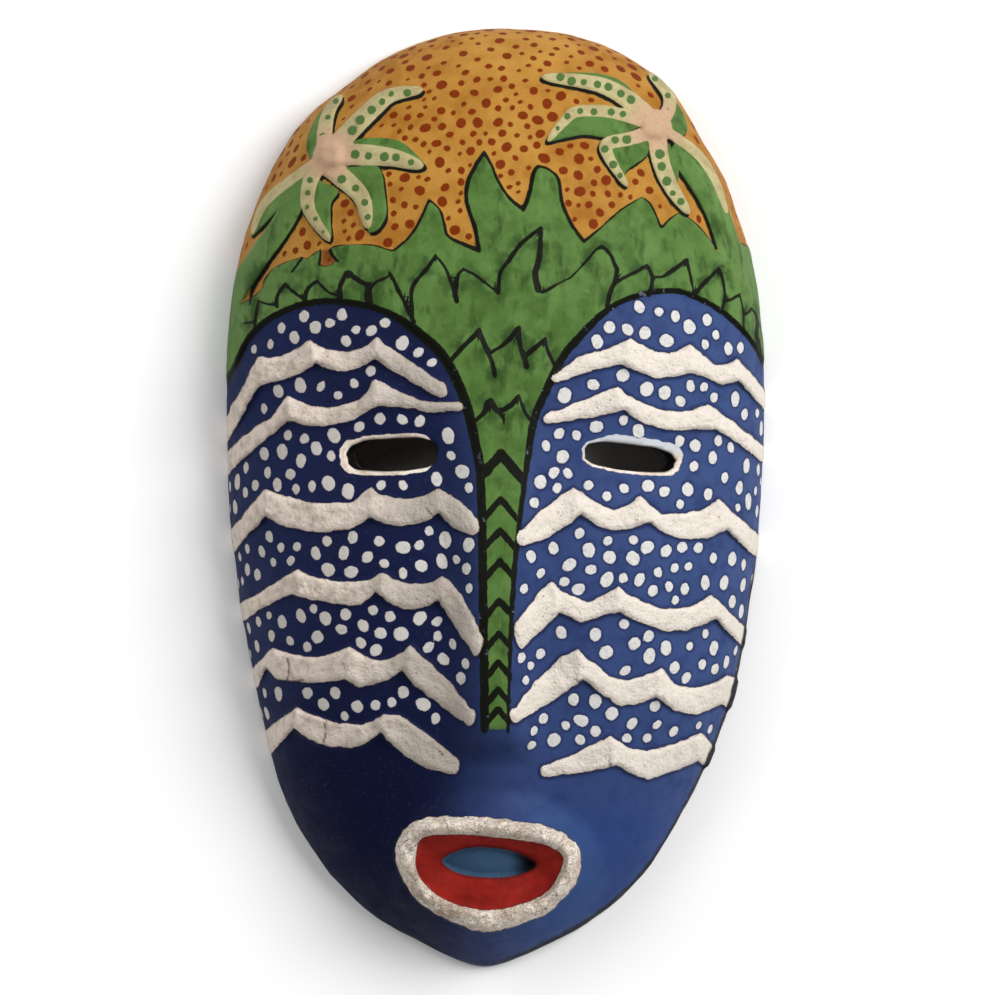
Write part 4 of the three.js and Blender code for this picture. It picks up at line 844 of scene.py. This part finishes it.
def settle(x, y, depth, level, reach):
    """Moves the plan points within reach of a contour onto it, down the depth's own slope."""
    step, least_slope = 0.02, 0.2
    here = depth(x, y)
    slope_x = (depth(x + step, y) - here) / step
    slope_y = (depth(x, y + step) - here) / step
    size = np.maximum(slope_x**2 + slope_y**2, least_slope)
    near = np.abs(here - level) < reach
    move = np.where(near, (here - level) / size, 0)
    return x - move * slope_x, y - move * slope_y


def grid_quads(columns, rows):
    """Corner numbers of the quads of a grid, each anticlockwise."""
    first = (np.arange(rows)[:, None] * (columns + 1) + np.arange(columns)).ravel()
    return np.stack([first, first + 1, first + columns + 2, first + columns + 1], 1)


def grid_border(columns, rows):
    """Numbers of the points round a grid, anticlockwise from its lower left corner."""
    across, up, wide = np.arange(columns), np.arange(rows), columns + 1
    top = rows * wide
    return np.concatenate([across, columns + up * wide, top + columns - across, top - up * wide])


def open_slots(x, y, quads, spacing, at_back):
    """Cuts the eye slots out of a grid: quads that lie in a slot go, and the points left inside
    one move to its outline. Returns the points, the quads and each slot's ring and its turns."""
    depth = lambda a, b: slots_depth(a, b, at_back)
    near = depth(x, y) > -3 * spacing
    x[near], y[near] = settle(x[near], y[near], depth, 0, 0.5 * spacing)
    level = far_out(x)
    level[near] = depth(x[near], y[near])
    on_edge = 0.05
    quads = quads[~np.all(level[quads] > -on_edge, 1)]
    used = np.zeros(x.shape, bool)
    used[quads] = True
    stray = used & (level > on_edge)
    for _ in range(3):
        x[stray], y[stray] = settle(x[stray], y[stray], depth, 0, 9)
    before = open_border(quads)
    rings = []
    for slot in EYE_SLOTS:
        ring = [next(i for i in before if math.hypot(x[i] - slot["x"], y[i] - slot["y"]) < 30)]
        while before[ring[-1]] != ring[0]:
            ring.append(before[ring[-1]])
        turn = slot_turn(slot, slot_outline(slot, at_back).mean(0), x[ring], y[ring])
        rings.append((np.roll(ring, -np.argmin(turn)), np.sort(turn)))
    return x, y, quads, rings


def open_border(quads):
    """The edges that only one quad has, from the point at the end to the one at the start."""
    start = quads.ravel()
    end = np.roll(quads, -1, 1).ravel()
    size = quads.max() + 1
    ways = start.astype(np.int64) * size + end
    back = end.astype(np.int64) * size + start
    alone = ~np.isin(ways, back)
    return dict(zip(end[alone].tolist(), start[alone].tolist()))


def zip_rings(first, first_turn, second, second_turn):
    """Triangles between two closed rings that run the same way round. The next point in order
    of turn is joined to the one that the other ring has reached."""
    first, second = first[np.argsort(first_turn)], second[np.argsort(second_turn)]
    order = np.argsort(np.concatenate([first_turn, second_turn]), kind="stable")
    is_first = order < len(first)
    done_first, done_second = np.cumsum(is_first), np.cumsum(~is_first)
    a, a_before = (first[(done_first - k) % len(first)] for k in (1, 2))
    b, b_before = (second[(done_second - k) % len(second)] for k in (1, 2))
    return np.where(is_first[:, None], np.stack([a_before, a, b], 1), np.stack([b, b_before, a], 1))


def ring_quads(first, second):
    """Quads between two rings of equally many points."""
    return np.stack([first, np.roll(first, -1), np.roll(second, -1), second], 1)


class Surface:
    """The points of the mask and its painted and bare faces, collected part by part."""

    def __init__(self):
        self.parts, self.painted, self.bare = [], [], []

    def add(self, new):
        """Adds points and returns their numbers."""
        first = sum(len(part) for part in self.parts)
        self.parts.append(new)
        return np.arange(first, first + len(new))

    def wall(self, ring, rows, way=1):
        """Painted quads from a ring through rows of new points. Returns the last row."""
        for row in rows:
            new = self.add(row)
            self.painted.append(ring_quads(ring, new)[:, ::way])
            ring = new
        return ring


def face_grid():
    """Points of the face, their fields, its quads and the rings of its slots. Points by the
    mouth are moved onto its edges."""
    x, y = plan_grid(FACE, *FACE_GRID)
    for outline, level, reach in MOUTH_EDGES:
        near = np.hypot(x - MOUTH_X, y - MOUTH_Y) < 60
        x[near], y[near] = settle(x[near], y[near], lambda a, b: mouth_depths(a, b)[outline], level, reach)
    x, y, quads, rings = open_slots(x, y, grid_quads(*FACE_GRID), FACE_SPACING, False)
    return *face_points(x, y), quads, rings


def back_grid():
    """Points of the faintly gouged hollow, its quads and the rings of its slots."""
    x, y = plan_grid(HOLLOW, *BACK_GRID)
    x, y, quads, rings = open_slots(x, y, grid_quads(*BACK_GRID), BACK_SPACING, True)
    g = gauge(HOLLOW, x, y)
    z = dome_height(HOLLOW, g) + rough(GOUGES, x * 0.55, y) * ease(1, 0.9, g)
    z[grid_border(*BACK_GRID)] = 0
    return np.stack([x, y, z], 1), quads, rings


def slot_rear(slot, turn):
    """Points where a slot meets the hollow, at the turns of its front ring."""
    outline = slot_outline(slot, True, 720)
    turns = slot_turn(slot, outline.mean(0), *outline.T)
    order = np.argsort(turns)
    x, y = (np.interp(turn, turns[order], outline[order, k], period=2 * np.pi) for k in (0, 1))
    return np.stack([x, y, dome_height(HOLLOW, gauge(HOLLOW, x, y))], 1)


def rim_rows(edge):
    """The rows of points that round the rim inwards from the edge of the face."""
    inward = -dome_normal(FACE, edge[:, 0], edge[:, 1])
    for inset, height in RIM_STEPS:
        row = edge + inward * inset
        row[:, 2] = height
        yield row


def build_mask():
    """The closed surface: face grid, back grid, rounded rim and the walls of the slots. Returns
    its points, their fields, its painted faces and its bare ones."""
    surface = Surface()
    points, fields, quads, rings = face_grid()
    back_points, back_quads, back_rings = back_grid()
    surface.add(points)
    back = surface.add(back_points)
    surface.painted.append(quads)
    surface.bare.append(back[back_quads][:, ::-1])

    border, back_border = grid_border(*FACE_GRID), back[grid_border(*BACK_GRID)]
    points[border, 2] = RIM_TOP
    ring = surface.wall(border, rim_rows(points[border]), -1)
    flat = np.vstack(surface.parts)[:, :2] / HALF_BOX
    turns = np.arctan2(flat[:, 1], flat[:, 0])
    surface.bare.append(zip_rings(ring, turns[ring], back_border, turns[back_border])[:, ::-1])

    for slot, (front_ring, turn), (rear_ring, rear_turn) in zip(EYE_SLOTS, rings, back_rings):
        front, rear = points[front_ring], slot_rear(slot, turn)
        ring = surface.wall(front_ring, (lerp(front, rear, share) for share in SLOT_WALL_SHARES))
        surface.bare.append(zip_rings(ring, turn, back[rear_ring], rear_turn))

    everything = np.vstack(surface.parts)
    extra = face_fields(*everything[len(points):, :2].T)[0]
    fields = {name: np.concatenate([own, extra[name]]) for name, own in fields.items()}
    return everything, fields, surface.painted, surface.bare


def put_in_scene(name, data, place=(0, 0, 0)):
    """An object of the scene at a place in metres."""
    thing = bpy.data.objects.new(name, data)
    bpy.context.scene.collection.objects.link(thing)
    thing.location = place
    return thing


def make_mesh(name, points, faces, attributes):
    """A mesh object in metres from points, lists of (faces, material number) and float
    attributes of its points."""
    mesh = bpy.data.meshes.new(name)
    corners = np.concatenate([f.ravel() for f, _ in faces])
    sizes = np.concatenate([np.full(len(f), f.shape[1]) for f, _ in faces])
    materials = np.concatenate([np.full(len(f), m) for f, m in faces])
    mesh.vertices.add(len(points))
    mesh.vertices.foreach_set("co", (points * MM).astype(np.float32).ravel())
    mesh.loops.add(len(corners))
    mesh.loops.foreach_set("vertex_index", corners.astype(np.int32))
    mesh.polygons.add(len(sizes))
    mesh.polygons.foreach_set("loop_start", np.concatenate([[0], np.cumsum(sizes)[:-1]]).astype(np.int32))
    mesh.polygons.foreach_set("material_index", materials.astype(np.int32))
    mesh.update(calc_edges=True)
    mesh.shade_smooth()
    for key, values in attributes.items():
        layer = mesh.attributes.new(key, "FLOAT", "POINT")
        layer.data.foreach_set("value", values.astype(np.float32))
    return put_in_scene(name, mesh)


# Materials

class Paints:
    """Short names for the nodes of a material. Sizes are in millimetres, and a tone is the
    output of a node or a colour given in the 0 to 255 of a screen."""

    def __init__(self, name):
        self.material = bpy.data.materials.new(name)
        self.material.use_nodes = True
        self.tree = self.material.node_tree
        self.shader = self.tree.nodes["Principled BSDF"]
        self.place = self.tree.nodes.new("ShaderNodeTexCoord").outputs["Object"]

    def put(self, socket, value):
        """Links a socket to another, or sets its value."""
        if isinstance(value, bpy.types.NodeSocket):
            self.tree.links.new(value, socket)
        else:
            socket.default_value = value

    def node(self, kind, *values, **settings):
        """A node with its settings and its first inputs."""
        node = self.tree.nodes.new(kind)
        for key, value in settings.items():
            setattr(node, key, value)
        for socket, value in zip(node.inputs, values):
            self.put(socket, value)
        return node

    def math(self, operation, *values):
        """One sum on numbers."""
        return self.node("ShaderNodeMath", *values, operation=operation).outputs[0]

    def both(self, first, *others):
        """The product of shares, which is large only where all of them are."""
        for other in others:
            first = self.math("MULTIPLY", first, other)
        return first

    def either(self, first, second):
        """The larger of two shares."""
        return self.math("MAXIMUM", first, second)

    def within(self, half, name):
        """Depth in a line along the edge of a form: its half width less the distance."""
        return self.math("SUBTRACT", self.field(half), self.math("ABSOLUTE", self.field(name)))

    def field(self, name):
        """A float attribute of the mesh, in millimetres."""
        return self.node("ShaderNodeAttribute", attribute_name=name).outputs["Fac"]

    def noise(self, size, detail=2.0, rough=0.5, spread=None):
        """Noise of 0 to 1 with lumps of a size, closer together along an axis of more spread."""
        node = self.node("ShaderNodeTexNoise")
        place = self.place
        if spread:
            stretched = self.node("ShaderNodeMapping", place)
            stretched.inputs["Scale"].default_value = spread
            place = stretched.outputs[0]
        settings = (("Vector", place), ("Scale", 1 / (size * MM)), ("Detail", detail), ("Roughness", rough))
        for key, value in settings:
            self.put(node.inputs[key], value)
        return node.outputs["Fac"]

    def range(self, value, low, high, start=0.0, end=1.0):
        """Maps low…high to start…end by an S curve."""
        node = self.node("ShaderNodeMapRange", value, low, high, start, end, interpolation_type="SMOOTHSTEP")
        return node.outputs["Result"]

    def mix(self, share, first, second):
        """The first tone at share 0 and the second at share 1."""
        node = self.node("ShaderNodeMix", data_type="RGBA")
        self.put(node.inputs[0], share)
        for socket, tone in ((node.inputs[6], first), (node.inputs[7], second)):
            self.put(socket, tone if isinstance(tone, bpy.types.NodeSocket) else (*colour(*tone), 1))
        return node.outputs[2]

    def tint(self, tone, *layers):
        """A tone with others laid over it in turn, each layer a share and its tone."""
        for share, over in layers:
            tone = self.mix(share, tone, over)
        return tone

    def finish(self, tone, roughness, height, distance, strength=1.0):
        """Gives the shader its colour and roughness and a bump of a height times a distance."""
        bump = self.node("ShaderNodeBump")
        values = (("Strength", strength), ("Distance", distance * MM), ("Height", height))
        for key, value in values:
            self.put(bump.inputs[key], value)
        for key, value in (("Base Color", tone), ("Roughness", roughness), ("Normal", bump.outputs[0])):
            self.put(self.shader.inputs[key], value)


def colour(red, green, blue):
    """A linear colour from one given in the 0 to 255 of a screen."""
    c = np.array([red, green, blue]) / 255
    return tuple(float(v) for v in np.where(c <= 0.04045, c / 12.92, ((c + 0.055) / 1.055) ** 2.4))


def face_paint():
    """All the paints of the face, laid over each other in the order they were painted. Ramps
    over x and y run over places in metres."""
    p = Paints("mask_paint")
    ramp, both, either, tint = p.range, p.both, p.either, p.tint
    x, y = p.node("ShaderNodeSeparateXYZ", p.place).outputs[:2]
    broad, patchy, fine = p.noise(38, 2), p.noise(9, 4, 0.6), p.noise(1.6, 2, 0.6)
    small, dab, crumbs = p.noise(3.6, 3, 0.6), p.noise(5.5, 4, 0.65), p.noise(3.2, 3, 0.7)
    pit = ramp(p.noise(1.3, 2, 0.5), 0.68, 0.76)
    wobble = p.math("SUBTRACT", small, 0.5)

    def mask(form, grow=0.0, wave=1.0, soft=0.2):
        """1 inside a form, named or given by its depth, with a hand-drawn edge."""
        depth = p.field(form) if isinstance(form, str) else form
        depth = p.math("ADD", depth, both(wobble, wave))
        return ramp(p.math("ADD", depth, grow), -soft, soft)

    on_band, on_ring, on_lip = mask("band", 0, 1.6), mask("ring", 0, 1.4), mask("lip", 0, 0.8)

    # Blue, darker round the dots and bands, and painted darker at the left and lower left and lighter at the
    # right, the lower right and the right side of the mound round the mouth: painted shade and painted light
    rightward = ramp(p.math("ADD", x, both(broad, 0.02)), -0.022, 0.03)
    halo = either(mask("dot", 0.9, 0.8, 0.7), mask("band", 1.2, 0.9, 0.8))
    blue = tint(
        p.mix(rightward, (20, 27, 62), (54, 72, 120)),
        (ramp(x, -0.06, -0.1, 0, 0.6), (30, 44, 88)),
        (ramp(x, 0.03, 0.1, 0, 0.5), (64, 86, 134)),
        (both(ramp(patchy, 0.42, 0.75, 0, 0.5), rightward), (34, 44, 88)),
        (both(ramp(y, -0.07, -0.12), ramp(x, -0.01, -0.04), 0.8), (8, 14, 44)),
        (both(ramp(y, -0.11, -0.15), ramp(x, 0.0, 0.03), 0.6), (40, 66, 126)),
        (ramp(fine, 0.55, 0.8, 0, 0.14), (82, 98, 146)),
        (both(halo, 0.55), (22, 28, 68)),
        (both(mask("mound", 0, 5, 2.5), ramp(x, 0.0, 0.03, 0, 0.3)), (62, 92, 136)))

    # Orange sky with its red dots and a dark notch at the left
    notch = both(ramp(x, -0.0755, -0.073), ramp(y, 0.1065, 0.103), ramp(x, -0.062, -0.066, 0, 0.7))
    red = tint(p.mix(fine, (132, 54, 0), (108, 34, 0)), (ramp(x, -0.05, -0.1, 0, 0.4), (112, 48, 0)))
    sky = tint(
        p.mix(ramp(patchy, 0.35, 0.7), (178, 126, 52), (156, 102, 34)),
        (ramp(broad, 0.42, 0.7, 0, 0.7), (192, 144, 66)),
        (ramp(p.noise(13, 3, 0.6, (1.0, 0.6, 1.0)), 0.52, 0.7, 0, 0.5), (166, 116, 40)),
        (ramp(fine, 0.55, 0.8, 0, 0.25), (150, 98, 40)),
        (ramp(x, -0.06, -0.11, 0, 0.35), (164, 118, 60)),
        (notch, (112, 52, 18)),
        (mask("red_dot", 0, 0.9), red))

    # Green, with dark strokes down it and beside the ink
    near_ink = both(ramp(p.field("ink"), -5.5, -0.5), ramp(p.noise(9, 2, 0.5), 0.42, 0.62, 0, 0.85))
    green = tint(
        p.mix(ramp(patchy, 0.36, 0.66), (88, 122, 60), (74, 106, 48)),
        (both(either(ramp(x, -0.05, -0.1), ramp(x, 0.07, 0.11)), 0.5), (104, 136, 74)),
        (ramp(p.noise(6, 3, 0.6, (1.0, 0.35, 1.0)), 0.52, 0.72, 0, 0.8), (50, 74, 32)),
        (ramp(p.noise(10, 4, 0.65, (1.0, 0.5, 1.0)), 0.5, 0.68, 0, 0.5), (106, 142, 76)),
        (near_ink, (48, 76, 34)),
        (ramp(fine, 0.58, 0.8, 0, 0.3), (118, 150, 92)))

    # Cream and white paste with pits and cracks, painted greyer at the left and most of all left of the nose
    # as painted shade; its darker dabs are laid on more thickly towards the left as painted shade too
    cream = tint(
        p.mix(ramp(x, -0.02, -0.075), (236, 226, 214), (232, 217, 204)),
        (both(ramp(x, -0.07, -0.03), ramp(x, 0.01, -0.02)), (186, 176, 166)),
        (both(ramp(dab, 0.4, 0.7), ramp(x, 0.03, -0.05, 0.15, 0.75)), (178, 163, 149)),
        (ramp(crumbs, 0.6, 0.78, 0, 0.35), (160, 140, 120)),
        # The pits and the edges of the bands are painted darker: painted shade in them
        (both(pit, 0.45), (112, 92, 76)),
        (ramp(p.field("band"), 0.7, -0.4, 0, 0.6), (140, 120, 104)))
    white = tint(p.mix(ramp(fine, 0.45, 0.75), (220, 218, 215), (196, 194, 190)),
                 (ramp(x, 0.02, -0.09, 0, 0.5), (186, 176, 164)))
    ring = tint(
        p.mix(ramp(patchy, 0.35, 0.7), (246, 234, 220), (212, 194, 176)),
        (ramp(fine, 0.5, 0.8, 0, 0.6), (146, 124, 104)),
        # The ring is painted brown at its lower left and dark in its pits: painted shade
        (both(ramp(dab, 0.4, 0.6), ramp(x, 0.0, -0.03), ramp(y, -0.15, -0.175), 0.7), (140, 112, 86)),
        (both(pit, 0.7), (96, 78, 62)))
    line = p.math("ABSOLUTE", p.math("SUBTRACT", p.noise(8, 2), 0.5))
    split = both(ramp(line, 0.011, 0.004), ramp(p.noise(12, 1), 0.54, 0.6), on_ring)
    crack = either(mask("crack", 0, 0.8, 0.25), split)
    ring_only = both(on_ring, p.math("SUBTRACT", 1.0, on_lip))
    pasty = either(on_band, ring_only)

    # Palms, mouth, slots and the dark rim at the right
    palm = tint(
        p.mix(ramp(patchy, 0.35, 0.7), (190, 180, 132), (168, 154, 112)),
        (ramp(p.field("crown"), -8.5, 1), (196, 162, 132)),
        (ramp(fine, 0.5, 0.75, 0, 0.4), (150, 122, 90)))
    # The lips are painted darker towards the slot: painted shade where they fall into it
    lips = tint(p.mix(ramp(patchy, 0.3, 0.7), (160, 38, 30), (132, 29, 23)),
                (ramp(p.field("mouth"), -1.6, -0.4, 0, 0.5), (70, 16, 14)))
    # The floor of the mouth goes nearly black at its right end: a painted shadow
    mouth_floor_and_shadow = tint(p.mix(patchy, (68, 100, 132), (54, 80, 108)), (ramp(x, 0.004, 0.014), (14, 18, 24)))
    # The upper edge of the right slot is painted a cooler white: painted shade on the face that turns down
    slot_edge = p.mix(both(ramp(x, 0.02, 0.03), ramp(y, 0.016, 0.02)), ring, (204, 208, 212))
    at_right = both(ramp(x, -0.02, 0.02), ramp(y, -0.02, -0.04))
    dark_rim = both(ramp(p.math("ADD", p.field("rim"), wobble), 1.2, 0.5), at_right)

    # Black lines. A stroke's way to its middle line is exact between the points of the mesh
    ink = p.mix(patchy, (26, 29, 18), (12, 13, 10))
    # Pale grey specks on the black arch lines, more of them at the right, are painted glints
    arch_ink_and_glints = p.mix(both(ramp(p.noise(4, 3, 0.7), 0.62, 0.7), rightward), ink, (112, 112, 130))
    squares = (p.math("POWER", p.field(name), 2) for name in ("ink_x", "ink_y"))
    way = p.math("SQRT", p.math("ADD", *squares))
    from_middle = p.math("SUBTRACT", p.field("ink_half"), way)
    stroke = p.math("MINIMUM", from_middle, p.math("ADD", p.field("ink"), 0.9))
    thick, thicker = ramp(patchy, 0.3, 0.7, -0.15, 0.12), ramp(patchy, 0.3, 0.7, -0.2, 0.3)

    paint = tint(
        blue,
        (mask("leaf"), green), (mask("sky"), sky), (mask("dot", 0, 1.7), white),
        (mask(stroke, thick, 0.6), ink), (mask(p.within("leaf_edge", "sky"), thick, 0.4), ink),
        (mask("chevron", thicker, 1.2), ink), (mask(p.within("arch", "cheek"), 0, 1.3), arch_ink_and_glints),
        (mask("shadow", thicker, 0.6), ink), (mask("trunk", 0, 0.5), green),
        (mask("frond_leaf", 0, 0.5), green), (mask("frond", 0, 0.5), palm),
        (mask("frond_dot", 0, 0.8), (78, 108, 56)), (on_band, cream), (on_ring, ring),
        # Cracks are painted dark brown: painted shade in them
        (both(crack, pasty, 0.7), (92, 72, 58)), (on_lip, lips), (mask("mouth", 0, 0.6), mouth_floor_and_shadow),
        # The walls of the slots are painted nearly black: painted shade inside them
        (mask("slot_edge", 0, 1.8), slot_edge), (mask("slot_wall", 0, 0.4), (16, 16, 16)),
        (dark_rim, (20, 22, 28)))

    # Relief too fine for the mesh, in millimetres
    raised = either(mask("dot", 0, 1.7, 0.5), mask("frond_dot", 0, 0.8, 0.5))
    dent = p.math("SUBTRACT", 1.0, either(crack, pit))
    fold = ramp(p.math("ABSOLUTE", wobble), 0.0, 0.05)
    height = both(raised, 0.18)
    for rise in (
            both(small, 0.18), both(p.noise(1.9, 2, 0.65), 0.78, pasty), both(dab, 1.28, pasty),
            both(dent, 0.35, pasty), both(crumbs, 1.35, ring_only), both(fold, 0.4, ring_only)):
        height = p.math("ADD", height, rise)
    p.finish(p.mix(0.17, paint, (8, 7, 6)), ramp(patchy, 0.3, 0.7, 0.5, 0.66), height, 1.0)
    p.shader.inputs["Specular IOR Level"].default_value = 0.06
    return p.material


def bare_wood():
    """Plain carved wood, brown with age, its grain along the face, and painted black beside the slots
    as painted shade, so that the slots look dark inside."""
    p = Paints("mask_wood")
    grain = p.noise(3.0, 5, 0.6, (1.0, 0.08, 1.0))
    broad = p.noise(30, 3, 0.5, (1.0, 0.4, 1.0))
    # Painted shade: black on the wood close to the slots
    painted_slot_shade = p.math("ADD", p.field("slot_wall"), p.both(grain, 4.0))
    wood = p.tint(
        p.mix(p.range(grain, 0.35, 0.7), (158, 118, 78), (118, 82, 50)),
        (p.range(broad, 0.4, 0.75, 0, 0.6), (96, 66, 42)),
        (p.range(painted_slot_shade, -6.0, -3.5), (10, 10, 10)))
    p.finish(wood, p.range(grain, 0.3, 0.7, 0.6, 0.8), grain, 0.4, 0.6)
    return p.material


def floor_white():
    """Matte white, faintly uneven."""
    p = Paints("floor_white")
    uneven = p.range(p.noise(200, 2), 0.3, 0.7, 0, 0.03)
    p.put(p.shader.inputs["Base Color"], p.mix(uneven, (243.445,) * 3, (217.848,) * 3))
    p.shader.inputs["Roughness"].default_value = 0.9
    return p.material


# Mask. The dots are scattered over the points of the face grid, which come first
points, fields, painted, bare = build_mask()
x, y = points[:, 0], points[:, 1]
slots = slots_depth(x, y)
of_face = slice(0, (FACE_GRID[0] + 1) * (FACE_GRID[1] + 1))
face, depths = points[of_face], {name: field[of_face] for name, field in fields.items()}
outward = ease(0.72, 0.97, gauge(FACE, face[:, 0], face[:, 1]))
white_dots = scatter(
    face, white_room(face, depths, slots[of_face]), sizes=(2.0, 3.2), gap=2.0 + 1.6 * outward,
    seed=7, tries=40000)
red_dots = scatter(
    face, red_room(face, depths), sizes=(1.1, 2.6), gap=1.5 + 0.8 * outward, seed=8, tries=70000)
fields["dot"], fields["red_dot"] = dots_depth(white_dots, points), dots_depth(red_dots, points)

# An oval round the mouth, on whose right side the blue is painted lighter as painted light, and the white
# edges of the slots, wider at some places
mouthward = np.hypot((x - MOUTH_X) / MOUTH_HALO["wide"], (y - MOUTH_Y + 1) / MOUTH_HALO["high"])
fields["mound"] = (1 - mouthward) * MOUTH_HALO["depth"]
fields["slot_edge"] = slots + np.where(
    x < 0, 1.3 + 1.2 * ease(-60, -64, x) - 2.6 * ease(-30, -25, x),
    1.0 + 1.9 * ease(15, 19, y) * ease(40, 52, x) + 0.8 * ease(70, 76, x))
# More than half a millimetre inside the slots, where the walls are painted black as painted shade
fields["slot_wall"] = slots - 0.5
fields["ink"], fields["ink_x"], fields["ink_y"], fields["ink_half"] = ink_strokes(x, y)
fields["leaf_edge"] = np.interp(x, *np.array(LEAF_EDGE).T)
fields["crack"] = np.max([local_depth(smooth_line(crack, 5), x, y, 0.5) for crack in CRACKS], 0)
fields["rim"] = (1 - gauge(FACE, x, y)) * 100

# Points that no face uses are left out
faces = [(part, 0) for part in painted] + [(part, 1) for part in bare]
used = np.zeros(len(points), bool)
for part, _ in faces:
    used[part] = True
new_number = np.cumsum(used) - 1
faces = [(new_number[part], material) for part, material in faces]
mask = make_mesh("mask_dressed", points[used], faces, {name: field[used] for name, field in fields.items()})
mask.data.materials.append(face_paint())
mask.data.materials.append(bare_wood())
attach(mask, "root")
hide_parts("mask")

# Floor, light and camera
floor_mesh = bpy.data.meshes.new("floor")
floor_mesh.from_pydata([(-6, -6, 0), (6, -6, 0), (6, 6, 0), (-6, 6, 0)], [], [(0, 1, 2, 3)])
floor = put_in_scene("floor", floor_mesh)
floor.data.materials.append(floor_white())

# Square lights: name, place in metres, size and power. Each is turned to the middle of the mask
for name, place, size, power in (
        ("key", (1.9, 0.9, 2.2), 1.9, 100), ("left", (-2.4, 1.0, 1.8), 2.4, 44),
        ("head", (0.2, 3.0, 1.8), 2.2, 34), ("foot", (0.2, -3.0, 1.6), 2.2, 22)):
    light = bpy.data.lights.new(name, "AREA")
    light.size, light.energy = size, power
    lamp = put_in_scene(name, light, place)
    way = np.array(place) - np.array((0, 0, 0.03))
    lamp.rotation_euler = (math.acos(way[2] / np.linalg.norm(way)), 0, math.atan2(way[0], -way[1]))

world = bpy.data.worlds.new("studio")
world.use_nodes = True
background = world.node_tree.nodes["Background"]
background.inputs["Color"].default_value = (1, 1, 1, 1)
background.inputs["Strength"].default_value = 0.12
bpy.context.scene.world = world

# The camera is high up, so that the mask is seen nearly without perspective
PIXEL = 0.42508  # millimetres of the mask in a pixel of the photograph
camera_height = 12.0
camera = bpy.data.cameras.new("camera")
camera.sensor_width = 36
camera.lens = camera.sensor_width * (camera_height - 0.04) / (995 * PIXEL * MM)
camera.clip_start, camera.clip_end = 0.1, 40
bpy.context.scene.camera = put_in_scene("camera", camera, (0.4 * MM, -0.3 * MM, camera_height))
bpy.context.scene.view_settings.view_transform = "Standard"
